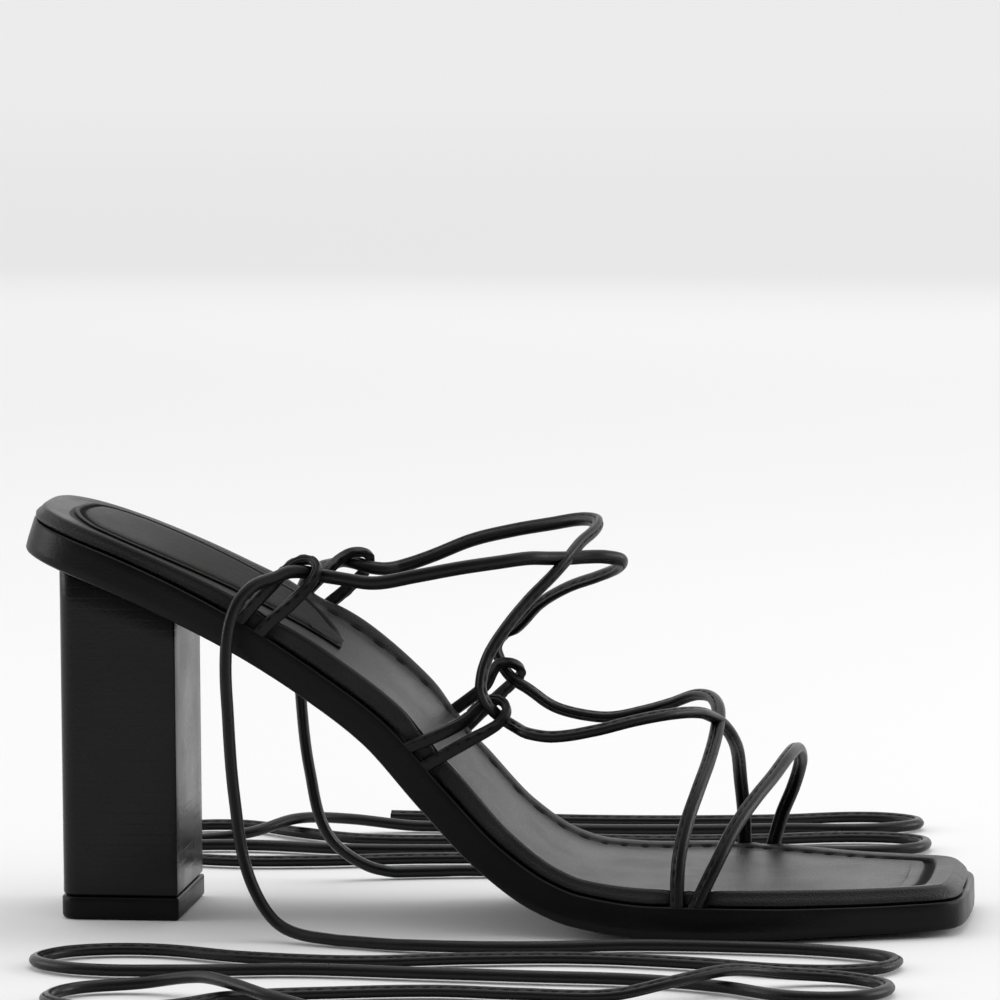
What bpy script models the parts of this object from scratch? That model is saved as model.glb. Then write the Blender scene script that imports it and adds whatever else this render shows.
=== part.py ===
"""Lace-up heeled sandal for a right foot.

A block heel and a leather outsole carry a wrapped footbed. The upper is nothing but rolled leather
cords: one strap over the toes, and two long laces that start at the sides of the ball, cross over
the vamp, turn in a loop on each side of the arch, cross again over the instep and leave through a
loop on each side of the seat as the ankle ties. The ties lie loose on the floor.

Metres, +Z up. The toe points along +X, +Y is the medial side, and the origin is on the floor under
the middle of the sandal.
"""
import math

import bmesh
import bpy
from mathutils import Quaternion, Vector
from mathutils.geometry import interpolate_bezier

MM = 0.001

# Sole, measured level with the floor
SOLE_LENGTH = 0.2300
BALL_WIDTH = 0.0788
HEEL_PITCH = 0.0882          # how much higher the seat is than the ball
TOE_SPRING = 0.0008
OUTSOLE_THICKNESS = 0.0088
FOOTBED_THICKNESS = 0.0036
FOOTBED_LEDGE = 0.0024       # outsole left bare round the footbed
OUTSOLE_EDGE = 0.0006        # rounding of the outsole's lower edge
TREAD_CROWN = 0.0009         # rise of the tread from its flat middle to the rounding
TREAD_CROWN_WIDTH = 0.0095
FOOTBED_ROLL = 0.0013        # rounded rim of the wrapped footbed
RIM_SLOPE = 0.0042           # from the footbed's edge to its stitched line
RIM_DEPTH = 0.0012           # the footbed's middle lies this much under its rim
SOCK_THICKNESS = 0.0013
SOCK_GAP = 0.0005            # under the sock, over the dished footbed
SOCK_MARGIN = 0.0068         # bare footbed round the sock
SOCK_FRONT_LATERAL = 0.330   # where the sock's oblique front edge ends, as shares of the length
SOCK_FRONT_MEDIAL = 0.280
SOCK_FRONT_BOW = 0.0030
ARCH_RISE = 0.0019           # how much the footbed's medial edge is raised at the arch

# Heel
HEEL_BACK = 0.0105           # from the sole's rearmost point
HEEL_LENGTH = 0.0285
HEEL_WIDTH = 0.0360
HEEL_CORNER = 0.0040
TOP_PIECE_HEIGHT = 0.0055
TOP_PIECE_LIP = 0.0003
TOP_PIECE_EDGE = 0.0008

# Upper
INSTEP_HEIGHT = 0.0850       # highest strap above the outsole
CORD_WIDTH = 0.0034
CORD_THICKNESS = 0.0028
LOOP_WIDTH = 0.0030
LOOP_THICKNESS = 0.0020
ROOT_THICKNESS = 0.0019      # a strap end pressed flat beside the footbed
ROOT_RISE = 0.0012           # a strap end runs straight up past the footbed by this much
PRESS_LENGTH = 0.0060        # over this length a strap end goes from flat to round
TIE_DIAMETER = 0.0033
TIE_LEAD = 0.0066            # a tie goes straight on from its lace by this much
CLEAR = 0.0003               # between pieces that touch
HEEL_SEAT_GAP = 0.0004       # between the heel and the outsole over it

# Where the origin lies along the sole, and the half stretch over which its slope is measured
SOLE_MIDDLE = 0.5
SLOPE_REACH = 0.004

# Shares of the footbed's roll: how far its lower edge is drawn in, how far under the top the
# roll starts, and the place of the roll's middle inward and down. Then the sock's soft edge as a
# share of its thickness.
ROLL_FOOT = 0.40
ROLL_START = 0.80
ROLL_MIDDLE_IN = 0.25
ROLL_MIDDLE_DOWN = 0.20
SOCK_EDGE = 0.40

# How finely the shapes are made
CORD_SIDES = 8
CORD_STEP = 0.0040
CORD_CURVE_STEPS = 6         # between two rows of a strap's table
LOOP_STEP = 0.0026
TIE_POINTS = 96
TIE_CURVE_STEPS = 8
TIE_ROUND_STEPS = 2
TIE_TURN = 0.0009            # a degree of bend counts as much as this length of tie when points are set
OUTLINE_STEPS = 4            # outline points between two rows of a table
HEEL_CORNER_STEPS = 4
HEEL_SIDE_STEPS = 6
UNDERSIDE_TRIES = 6
SHARP_ANGLE = 35.0           # edges over this many degrees look sharp
TINY = 1e-9

BLACK_LEATHER = (0.012, 0.012, 0.013)
FOOTBED_BLACK = (0.030, 0.030, 0.032)
HEEL_BLACK = (0.010, 0.009, 0.009)
RUBBER_BLACK = (0.008, 0.009, 0.012)

# Side view of the outsole's top: along (share of the length), pitch (share of HEEL_PITCH) and
# spring (share of TOE_SPRING), with how thick outsole and footbed are there, how deep the footbed's
# rim stands, how wide the bare ledge is and how far the arch is raised (shares of their sizes).
SIDE_ROWS = (
    # along, pitch, spring, outsole, footbed, rim, ledge, arch
    (0.000, 1.013, 0.0, 1.02, 0.92, 0.25, 0.25, 0.00),
    (0.064, 0.958, 0.0, 1.03, 0.90, 0.25, 0.75, 0.00),
    (0.117, 0.908, 0.0, 1.03, 0.86, 0.30, 1.00, 0.00),
    (0.202, 0.806, 0.0, 1.01, 0.98, 0.60, 1.00, 0.05),
    (0.268, 0.708, 0.0, 0.95, 1.14, 0.90, 1.00, 0.50),
    (0.332, 0.599, 0.0, 0.93, 1.30, 1.00, 1.00, 1.00),
    (0.396, 0.474, 0.0, 0.95, 1.30, 1.00, 1.00, 0.45),
    (0.460, 0.292, 0.0, 0.97, 1.22, 1.00, 1.00, 0.00),
    (0.517, 0.142, 0.0, 0.98, 1.02, 1.00, 1.00, 0.00),
    (0.570, 0.051, 0.0, 1.00, 0.88, 1.00, 1.00, 0.00),
    (0.603, 0.021, 0.0, 1.00, 0.86, 1.00, 1.00, 0.00),
    (0.676, 0.000, 0.0, 1.00, 0.95, 1.00, 1.00, 0.00),
    (0.800, 0.000, 0.0, 1.00, 0.88, 1.00, 1.00, 0.00),
    (0.880, 0.000, 0.3, 1.00, 0.70, 0.80, 1.00, 0.00),
    (1.000, 0.000, 1.0, 1.00, 0.56, 0.60, 1.00, 0.00),
)

# Outline of the outsole from above, heel to toe: along (share of the length), across (share of
# half the ball width), once for each side.
LATERAL_ROWS = (
    (0.014, 0.000),
    (0.016, 0.240),
    (0.026, 0.430),
    (0.052, 0.590),
    (0.096, 0.692),
    (0.150, 0.730),
    (0.230, 0.738),
    (0.320, 0.742),
    (0.400, 0.756),
    (0.470, 0.782),
    (0.540, 0.840),
    (0.610, 0.922),
    (0.670, 0.975),
    (0.715, 1.000),
    (0.760, 0.985),
    (0.806, 0.930),
    (0.850, 0.850),
    (0.900, 0.758),
    (0.940, 0.682),
    (0.972, 0.605),
    (0.987, 0.515),
    (0.9935, 0.330),
    (0.9960, 0.000),
)
MEDIAL_ROWS = (
    (0.014, 0.000),
    (0.016, 0.240),
    (0.026, 0.430),
    (0.052, 0.590),
    (0.096, 0.686),
    (0.150, 0.716),
    (0.230, 0.704),
    (0.320, 0.660),
    (0.400, 0.612),
    (0.470, 0.592),
    (0.540, 0.660),
    (0.610, 0.840),
    (0.670, 0.960),
    (0.715, 1.000),
    (0.760, 0.985),
    (0.806, 0.900),
    (0.850, 0.805),
    (0.900, 0.735),
    (0.940, 0.690),
    (0.972, 0.635),
    (0.987, 0.550),
    (0.9945, 0.350),
    (0.9960, 0.000),
)

# Straps and laces: along (share of the length), across (share of half the ball width, lateral
# minus) and over (share of INSTEP_HEIGHT above the outsole), between their roots and the loops.
TOE_STRAP_ROOTS = (0.728, 0.768)
TOE_STRAP_ROWS = (
    (0.743, -0.888, 0.116),
    (0.760, -0.723, 0.208),
    (0.777, -0.508, 0.272),
    (0.792, -0.265, 0.318),
    (0.803, 0.000, 0.355),
    (0.808, 0.280, 0.362),
    (0.809, 0.508, 0.338),
    (0.807, 0.690, 0.292),
    (0.797, 0.838, 0.209),
    (0.784, 0.910, 0.125),
)
LATERAL_LACE_ROOT = 0.704
LATERAL_VAMP_ROWS = (
    (0.705, -0.926, 0.118),
    (0.711, -0.799, 0.218),
    (0.720, -0.609, 0.302),
    (0.727, -0.355, 0.369),
    (0.731, -0.090, 0.437),
    (0.729, 0.120, 0.484),
    (0.718, 0.310, 0.504),
    (0.699, 0.470, 0.499),
    (0.670, 0.609, 0.464),
    (0.640, 0.690, 0.430),
    (0.603, 0.736, 0.386),
    (0.570, 0.745, 0.351),
    (0.543, 0.725, 0.324),
)
LATERAL_INSTEP_ROWS = (
    (0.494, 0.665, 0.433),
    (0.504, 0.635, 0.495),
    (0.532, 0.546, 0.635),
    (0.565, 0.428, 0.748),
    (0.601, 0.279, 0.826),
    (0.623, 0.130, 0.868),
    (0.630, -0.025, 0.903),
    (0.615, -0.130, 0.912),
    (0.597, -0.203, 0.906),
    (0.582, -0.274, 0.893),
    (0.563, -0.368, 0.874),
    (0.543, -0.475, 0.847),
    (0.515, -0.571, 0.784),
    (0.473, -0.645, 0.656),
    (0.430, -0.685, 0.506),
    (0.387, -0.695, 0.368),
)
MEDIAL_LACE_ROOT = 0.743
MEDIAL_VAMP_ROWS = (
    (0.743, 0.926, 0.118),
    (0.742, 0.761, 0.236),
    (0.743, 0.508, 0.334),
    (0.741, 0.241, 0.398),
    (0.734, 0.050, 0.448),
    (0.727, -0.100, 0.475),
    (0.716, -0.340, 0.503),
    (0.691, -0.571, 0.513),
    (0.656, -0.705, 0.500),
    (0.617, -0.776, 0.463),
    (0.573, -0.780, 0.410),
    (0.546, -0.749, 0.377),
)
MEDIAL_INSTEP_ROWS = (
    (0.503, -0.665, 0.490),
    (0.517, -0.609, 0.590),
    (0.543, -0.475, 0.732),
    (0.566, -0.385, 0.832),
    (0.579, -0.300, 0.888),
    (0.590, -0.140, 0.938),
    (0.601, 0.080, 0.972),
    (0.600, 0.240, 0.985),
    (0.581, 0.381, 0.967),
    (0.545, 0.495, 0.895),
    (0.505, 0.570, 0.788),
    (0.458, 0.635, 0.621),
    (0.412, 0.673, 0.429),
    (0.379, 0.675, 0.318),
)

# Turning points of the laces in the four loops, and where the two legs of each loop stand.
# side, turn along, across, over, back leg root, front leg root
LOOP_ROWS = {
    "mid_lateral": (-1, 0.511, -0.685, 0.362, 0.421, 0.438),
    "mid_medial": (1, 0.496, 0.660, 0.348, 0.424, 0.441),
    "heel_lateral": (-1, 0.310, -0.685, 0.246, 0.245, 0.266),
    "heel_medial": (1, 0.330, 0.660, 0.236, 0.266, 0.287),
}

# Legs and eye of a loop: share of the way from its root to the turn, then forward, inward and up
# from there in units of EYE_ROOM. The back leg and the eye come first, then the front leg.
MID_BACK_LEG = ((0.38, 0.00, 0.00, 0.35), (0.67, 0.00, 0.42, 0.62))
MID_EYE = (
    (1.00, -0.76, 0.70, 0.84),
    (1.00, 0.26, 0.58, 0.90),
    (1.00, 0.90, 0.20, 0.55),
    (1.00, 1.10, -0.43, 0.00),
    (1.00, 0.77, -0.82, -0.62),
    (1.00, 0.15, -0.98, -1.18),
)
MID_FRONT_LEG = ((0.68, 0.00, -0.66, -1.05), (0.36, 0.00, -0.15, -0.60))
MID_LACE = (
    (1.25, 0.25, -1.05),
    (0.55, 0.30, -0.62),
    (-0.15, 0.08, 0.02),
    (-0.68, -0.36, 0.85),
    (-0.90, -0.45, 1.70),
)
HEEL_BACK_LEG = ((0.30, 0.00, 0.00, 0.80), (0.58, 0.00, 0.38, 0.95))
HEEL_EYE = (
    (1.00, -0.98, 0.66, 0.46),
    (1.00, -0.05, 0.76, 0.96),
    (1.00, 0.92, 0.46, 0.97),
    (1.00, 1.50, -0.18, 0.50),
    (1.00, 1.12, -0.60, -0.42),
)
HEEL_FRONT_LEG = ((0.70, 0.40, -0.48, -0.42), (0.33, 0.00, -0.30, -0.20))
HEEL_LACE = (
    (2.30, 0.40, -0.40),
    (1.20, 0.58, -0.26),
    (0.15, 0.25, 0.00),
    (-0.78, -0.36, 0.04),
    (-1.55, -0.95, -0.24),
)

# The ankle ties, let down: each drops from its heel loop past the sole's edge to the floor.
# along X, along Y, height, in millimetres
LATERAL_TIE_ROUTE = (
    (-58.0, -37.2, 78.5), (-59.8, -38.6, 70.0), (-59.5, -39.0, 53.0), (-58.0, -39.5, 33.0),
    (-54.5, -41.0, 15.0), (-47.0, -44.0, 4.2), (-34.0, -49.0, 1.75), (-12.0, -55.0, 1.75),
    (14.0, -55.0, 1.75), (38.0, -50.0, 1.75), (62.0, -50.0, 1.75), (86.0, -54.0, 1.75),
    (100.0, -63.0, 1.75), (97.0, -75.0, 1.75), (79.0, -79.0, 1.75), (54.0, -72.0, 1.75),
    (28.0, -68.0, 1.75), (2.0, -71.0, 1.75), (-24.0, -77.0, 1.75), (-50.0, -74.0, 1.75),
    (-74.0, -66.0, 1.75), (-92.0, -70.0, 1.75), (-98.0, -82.0, 1.75), (-86.0, -92.0, 1.75),
    (-62.0, -92.0, 1.75), (-36.0, -88.0, 1.75), (-8.0, -90.0, 1.75), (18.0, -92.0, 1.75),
    (44.0, -94.0, 1.75), (64.0, -101.0, 1.75), (80.0, -111.0, 1.75), (95.0, -110.0, 1.75),
    (101.0, -98.0, 1.75), (92.0, -88.0, 1.75), (77.0, -90.0, 3.0), (65.0, -100.0, 5.4),
    (54.0, -109.0, 4.4), (40.0, -114.0, 1.9), (20.0, -114.0, 1.75), (0.0, -112.0, 1.75),
    (-22.0, -116.0, 1.75), (-46.0, -124.0, 1.75), (-58.0, -136.0, 1.75), (-74.0, -140.0, 1.75),
    (-86.0, -130.0, 1.75), (-83.0, -117.0, 1.75), (-68.0, -112.0, 2.4), (-54.0, -117.0, 5.0),
    (-46.0, -124.5, 5.4), (-35.0, -133.0, 4.0), (-20.0, -138.0, 1.75), (2.0, -138.0, 1.75),
    (26.0, -133.0, 1.75), (50.0, -130.0, 1.75), (72.0, -133.0, 1.75), (86.0, -142.0, 1.75),
    (84.0, -155.0, 1.75), (68.0, -160.0, 1.75), (44.0, -156.0, 1.75), (20.0, -151.0, 1.75),
    (-6.0, -153.0, 1.75), (-32.0, -157.0, 1.75), (-56.0, -155.0, 1.75), (-76.0, -155.0, 1.75),
    (-93.0, -162.0, 1.75),
)
MEDIAL_TIE_ROUTE = (
    (-53.2, 36.0, 75.0), (-55.0, 37.5, 66.0), (-54.5, 38.2, 48.0), (-52.5, 39.2, 28.0),
    (-48.0, 41.5, 11.0), (-37.0, 45.5, 2.6), (-16.0, 50.0, 1.75), (8.0, 52.0, 1.75), (34.0, 50.0, 1.75),
    (60.0, 49.0, 1.75), (84.0, 54.0, 1.75), (97.0, 63.0, 1.75), (94.0, 74.0, 1.75), (76.0, 78.0, 1.75),
    (50.0, 71.0, 1.75), (24.0, 66.0, 1.75), (-4.0, 69.0, 1.75), (-30.0, 67.0, 1.75),
    (-56.0, 61.0, 1.75), (-80.0, 60.0, 1.75), (-95.0, 68.0, 1.75), (-93.0, 80.0, 1.75),
    (-76.0, 84.0, 1.75), (-50.0, 80.0, 1.75), (-24.0, 81.0, 1.75), (2.0, 85.0, 1.75),
    (28.0, 86.0, 1.75), (54.0, 89.0, 1.75), (78.0, 88.0, 1.75), (94.0, 94.0, 1.75), (95.0, 105.0, 1.75),
    (80.0, 110.0, 1.75), (54.0, 104.0, 1.75), (28.0, 100.0, 1.75), (2.0, 100.0, 1.75),
    (-24.0, 96.0, 1.75), (-48.0, 96.0, 1.75), (-66.0, 105.0, 1.75), (-82.0, 115.0, 1.75),
    (-97.0, 112.0, 1.75), (-101.0, 100.0, 1.75), (-91.0, 92.0, 1.75), (-77.0, 95.0, 3.2),
    (-66.5, 104.5, 5.4), (-55.0, 113.0, 4.2), (-38.0, 118.0, 1.75), (-14.0, 117.0, 1.75),
    (12.0, 116.0, 1.75), (36.0, 118.0, 1.75), (60.0, 122.0, 1.75), (82.0, 124.0, 1.75),
    (92.0, 134.0, 1.75), (80.0, 142.0, 1.75), (56.0, 136.0, 1.75), (30.0, 132.0, 1.75),
    (4.0, 131.0, 1.75), (-22.0, 133.0, 1.75), (-46.0, 134.0, 1.75),
)


def clear_scene():
    for item in list(bpy.data.objects):
        bpy.data.objects.remove(item, do_unlink=True)


def material(name, colour, roughness):
    made = bpy.data.materials.new(name)
    made.use_nodes = True
    shader = made.node_tree.nodes["Principled BSDF"]
    shader.inputs["Base Color"].default_value = (*colour, 1.0)
    shader.inputs["Roughness"].default_value = roughness
    shader.inputs["Metallic"].default_value = 0.0
    return made


def smooth_slopes(places, values):
    """Slopes of a curve through the rows that never overshoots them."""
    gaps = [b - a for a, b in zip(places, places[1:])]
    rates = [(b - a) / gap for a, b, gap in zip(values, values[1:], gaps)]
    slopes = [rates[0]]
    for before, after, left, right in zip(gaps, gaps[1:], rates, rates[1:]):
        if left * right <= 0.0:
            slopes.append(0.0)
            continue
        near = 2.0 * after + before
        far = after + 2.0 * before
        slopes.append((near + far) / (near / left + far / right))
    slopes.append(rates[-1])
    return slopes


def side_curve(column):
    """One column of SIDE_ROWS as a smooth function of the share along the sole."""
    places = [row[0] for row in SIDE_ROWS]
    values = [row[column] for row in SIDE_ROWS]
    slopes = smooth_slopes(places, values)

    def value(along):
        index = max(i for i in range(len(places) - 1) if i == 0 or along >= places[i])
        gap = places[index + 1] - places[index]
        t = (along - places[index]) / gap
        start = values[index] * (1.0 + 2.0 * t) * (1.0 - t) ** 2 + slopes[index] * gap * t * (1.0 - t) ** 2
        end = values[index + 1] * t * t * (3.0 - 2.0 * t) + slopes[index + 1] * gap * t * t * (t - 1.0)
        return start + end

    return value


pitch_share = side_curve(1)
spring_share = side_curve(2)
outsole_share = side_curve(3)
footbed_share = side_curve(4)
rim_share = side_curve(5)
ledge_share = side_curve(6)
arch_share = side_curve(7)


def sole_x(along):
    return (along - SOLE_MIDDLE) * SOLE_LENGTH


def sole_along(x):
    return x / SOLE_LENGTH + SOLE_MIDDLE


def top_height(along):
    """Height of the outsole's top surface."""
    return OUTSOLE_THICKNESS + HEEL_PITCH * pitch_share(along) + TOE_SPRING * spring_share(along)


def sole_normal(along):
    """Upward normal of the outsole's top, seen from the side."""
    rise = top_height(along + SLOPE_REACH) - top_height(along - SLOPE_REACH)
    run = 2.0 * SLOPE_REACH * SOLE_LENGTH
    length = math.hypot(rise, run)
    return Vector((-rise / length, 0.0, run / length))


def on_sole(x, y, height):
    """The point at a height square to the outsole's top over the place x, y."""
    along = sole_along(x)
    return Vector((x, y, top_height(along))) + sole_normal(along) * height


def footbed_top(along):
    return CLEAR + FOOTBED_THICKNESS * footbed_share(along)


def footbed_floor(along):
    """Height of the footbed's middle, inside its rim."""
    return footbed_top(along) - RIM_DEPTH * rim_share(along)


def arch_height(along):
    """How much higher the footbed's medial edge stands than its lateral one."""
    return ARCH_RISE * arch_share(along)


def underside(x):
    """Height of the outsole's underside straight under or over x."""
    shift = 0.0
    for _ in range(UNDERSIDE_TRIES):
        along = sole_along(x + shift)
        shift = OUTSOLE_THICKNESS * outsole_share(along) * sole_normal(along).x
    return on_sole(x + shift, 0.0, -OUTSOLE_THICKNESS * outsole_share(along)).z


def spline(points, steps):
    """Smooth curve through points, with a number of steps between each two."""
    ends = [points[0] * 2.0 - points[1]] + list(points) + [points[-1] * 2.0 - points[-2]]
    curve = [points[0].copy()]
    for before, start, end, after in zip(ends, ends[1:], ends[2:], ends[3:]):
        span = (end - start).length
        left = span / max((start - before).length + span, TINY)
        right = span / max((after - end).length + span, TINY)
        handle_start = start + (end - before) * (left * span / max((end - before).length, TINY) / 1.5)
        handle_end = end - (after - start) * (right * span / max((after - start).length, TINY) / 1.5)
        curve += interpolate_bezier(start, handle_start, handle_end, end, steps + 1)[1:]
    return curve


def side_outline(rows, side):
    points = [Vector((sole_x(along), side * across * BALL_WIDTH / 2.0, 0.0)) for along, across in rows]
    return spline(points, OUTLINE_STEPS)


def inset(lateral, medial, distance, share=None):
    """Move an outline inward. The two sides run heel to toe and share their first and last point."""
    ring = lateral + medial[-2:0:-1]
    moved = []
    for index, point in enumerate(ring):
        before = ring[index - 1]
        after = ring[(index + 1) % len(ring)]
        ahead = (after - before).normalized()
        reach = distance * share(sole_along(point.x)) if share else distance
        moved.append(point + Vector((-ahead.y, ahead.x, 0.0)) * reach)
    count = len(lateral)
    return moved[:count], [moved[0]] + moved[:count - 2:-1]


def drawn_in(sides, distance):
    """An outline made smaller by a distance at the toe, the heel and the ball, and by less at the waist."""
    shorter = 1.0 - 2.0 * distance / SOLE_LENGTH
    narrower = 1.0 - 2.0 * distance / BALL_WIDTH
    return tuple([Vector((point.x * shorter, point.y * narrower, 0.0)) for point in side] for side in sides)


LATERAL_OUTLINE = side_outline(LATERAL_ROWS, 1.0)
MEDIAL_OUTLINE = side_outline(MEDIAL_ROWS, 1.0)


def outline_across(outline, along):
    """How far an outline stands out from the middle at a place along the sole."""
    x = sole_x(along)
    for first, last in zip(outline, outline[1:]):
        if first.x <= x <= last.x:
            return first.lerp(last, (x - first.x) / (last.x - first.x)).y
    return outline[-1].y


def across_floor(along, y):
    """Share of the way over the footbed's floor, 0 at its lateral and 1 at its medial edge."""
    border = FOOTBED_LEDGE * ledge_share(along) + RIM_SLOPE
    lateral = border - outline_across(LATERAL_OUTLINE, along)
    medial = outline_across(MEDIAL_OUTLINE, along) - border
    return min(max((y - lateral) / max(medial - lateral, CLEAR), 0.0), 1.0)


def new_object(name, mesh, made):
    mesh.materials.append(made)
    mesh.shade_smooth()
    mesh.set_sharp_from_angle(angle=math.radians(SHARP_ANGLE))
    item = bpy.data.objects.new(name, mesh)
    bpy.context.collection.objects.link(item)
    return item


def plate(name, layers, made):
    """Closed plate from rings, lowest first. A ring is a pair of sides with shared end points."""
    mesh = bmesh.new()
    rings = [[mesh.verts.new(point) for point in lateral + medial[-2:0:-1]] for lateral, medial in layers]
    count = len(rings[0])
    for lower, upper in zip(rings, rings[1:]):
        for index in range(count):
            following = (index + 1) % count
            mesh.faces.new((lower[index], lower[following], upper[following], upper[index]))
    bottom, top = rings[0], rings[-1]
    for index in range(count // 2):
        left, right = index, (index + 1)
        other_left, other_right = (count - index) % count, (count - index - 1) % count
        lid = [top[left], top[right], top[other_right], top[other_left]]
        base = [bottom[other_left], bottom[other_right], bottom[right], bottom[left]]
        mesh.faces.new(list(dict.fromkeys(lid)))
        mesh.faces.new(list(dict.fromkeys(base)))
    bmesh.ops.recalc_face_normals(mesh, faces=mesh.faces)
    data = bpy.data.meshes.new(name)
    mesh.to_mesh(data)
    mesh.free()
    return new_object(name, data, made)


def raised(sides, height, arch=False):
    """Both sides of an outline lifted onto the sole, height being a function of the share along.

    With the arch, the height grows from the lateral to the medial end of the footbed's floor.
    """
    lifted = []
    for side in sides:
        points = []
        for point in side:
            along = sole_along(point.x)
            rise = arch_height(along) * across_floor(along, point.y) if arch else 0.0
            points.append(on_sole(point.x, point.y, height(along) + rise))
        lifted.append(points)
    return tuple(lifted)


def cord_frames(points, thin_start, thin_end):
    """Directions of a cord's thin way at each point, without needless twist."""
    tangents = []
    for index in range(len(points)):
        before = points[max(index - 1, 0)]
        after = points[min(index + 1, len(points) - 1)]
        tangents.append((after - before).normalized())
    thin = thin_start - tangents[0] * thin_start.dot(tangents[0])
    frames = [thin.normalized()]
    for old, new in zip(tangents, tangents[1:]):
        turned = old.rotation_difference(new) @ frames[-1]
        frames.append((turned - new * turned.dot(new)).normalized())
    if thin_end is not None:
        wanted = (thin_end - tangents[-1] * thin_end.dot(tangents[-1])).normalized()
        twist = math.atan2(frames[-1].cross(wanted).dot(tangents[-1]), frames[-1].dot(wanted))
        last = len(points) - 1
        frames = [Quaternion(tangent, twist * index / last) @ frame
                  for index, (tangent, frame) in enumerate(zip(tangents, frames))]
    return tangents, frames


def even_steps(points, step):
    """Points at even steps along a polyline."""
    lengths = [0.0]
    for start, end in zip(points, points[1:]):
        lengths.append(lengths[-1] + (end - start).length)
    count = max(int(round(lengths[-1] / step)), 2)
    even = []
    index = 0
    for number in range(count + 1):
        wanted = lengths[-1] * number / count
        while index < len(points) - 2 and lengths[index + 1] < wanted:
            index += 1
        share = (wanted - lengths[index]) / (lengths[index + 1] - lengths[index])
        even.append(points[index].lerp(points[index + 1], share))
    return even


def points_at_bends(points, count):
    """A number of points along a polyline, closer together where it bends."""
    costs = [0.0]
    for index in range(1, len(points)):
        ahead = points[index] - points[index - 1]
        bend = 0.0
        if index > 1:
            bend = math.degrees(ahead.angle(points[index - 1] - points[index - 2], 0.0))
        costs.append(costs[-1] + ahead.length + bend * TIE_TURN)
    chosen = []
    index = 0
    for number in range(count):
        wanted = costs[-1] * number / (count - 1)
        while index < len(points) - 2 and costs[index + 1] < wanted:
            index += 1
        share = (wanted - costs[index]) / (costs[index + 1] - costs[index])
        chosen.append(points[index].lerp(points[index + 1], min(share, 1.0)))
    return chosen


def even_count(points, count):
    """The same polyline with a given number of points."""
    lengths = [0.0]
    for start, end in zip(points, points[1:]):
        lengths.append(lengths[-1] + (end - start).length)
    step = lengths[-1] / (count - 1)
    return even_steps(points, step)


def cord_mesh(name, route, width, thickness, step, thin_start, thin_end=None):
    """Flattened round cord along a route, pressed flat where it is clamped beside the footbed."""
    points = even_steps(spline(route, CORD_CURVE_STEPS), step)
    tangents, frames = cord_frames(points, thin_start, thin_end)
    total = sum((end - start).length for start, end in zip(points, points[1:]))
    gone = 0.0
    mesh = bmesh.new()
    rings = []
    for index, (point, tangent, thin) in enumerate(zip(points, tangents, frames)):
        if index:
            gone += (point - points[index - 1]).length
        start_share = min(gone / PRESS_LENGTH, 1.0)
        end_share = 1.0 if thin_end is None else min((total - gone) / PRESS_LENGTH, 1.0)
        depth = ROOT_THICKNESS + (thickness - ROOT_THICKNESS) * min(start_share, end_share)
        wide = tangent.cross(thin)
        ring = []
        for corner in range(CORD_SIDES):
            angle = 2.0 * math.pi * (corner + 0.5) / CORD_SIDES
            ring.append(mesh.verts.new(
                point + wide * (math.cos(angle) * width / 2.0) + thin * (math.sin(angle) * depth / 2.0)))
        rings.append(ring)
    for lower, upper in zip(rings, rings[1:]):
        for corner in range(CORD_SIDES):
            following = (corner + 1) % CORD_SIDES
            mesh.faces.new((lower[corner], lower[following], upper[following], upper[corner]))
    mesh.faces.new(rings[0][::-1])
    mesh.faces.new(rings[-1])
    bmesh.ops.recalc_face_normals(mesh, faces=mesh.faces)
    data = bpy.data.meshes.new(name)
    mesh.to_mesh(data)
    mesh.free()
    return data


def strap_point(row):
    along, across, over = row
    return Vector((sole_x(along), across * BALL_WIDTH / 2.0, top_height(along) + over * INSTEP_HEIGHT))


def root_points(along, side):
    """Where a strap end stands on the outsole's ledge, and where it clears the footbed's rim."""
    outline = LATERAL_OUTLINE if side < 0 else MEDIAL_OUTLINE
    edge = outline_across(outline, along) - FOOTBED_LEDGE * ledge_share(along)
    y = side * (edge + CLEAR + ROOT_THICKNESS / 2.0)
    foot = on_sole(sole_x(along), y, CLEAR)
    rise = arch_height(along) if side > 0 else 0.0
    above = on_sole(sole_x(along), y, footbed_top(along) + rise + ROOT_RISE)
    return foot, above


# Room that a lace and a loop's leg need between their middles
EYE_ROOM = (CORD_WIDTH + LOOP_WIDTH) / 2.0 + CLEAR


def eye_offset(turn, side, forward, inward, up):
    return turn + Vector((forward, -side * inward, up)) * EYE_ROOM


def loop_turn(name):
    side, along, across, over, _, _ = LOOP_ROWS[name]
    return side, strap_point((along, across, over))


def lace_through(name, offsets):
    side, turn = loop_turn(name)
    return [eye_offset(turn, side, *offset) for offset in offsets]


def loop_route(name, back_leg, eye, front_leg):
    side, turn = loop_turn(name)
    back_root, back_rise = root_points(LOOP_ROWS[name][4], side)
    front_root, front_rise = root_points(LOOP_ROWS[name][5], side)

    def along_leg(root, rows):
        return [eye_offset(root.lerp(turn, share), side, *offset) for share, *offset in rows]

    route = [back_root, back_rise] + along_leg(back_rise, back_leg) + along_leg(back_rise, eye)
    return route + along_leg(front_rise, front_leg) + [front_rise, front_root]


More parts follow.
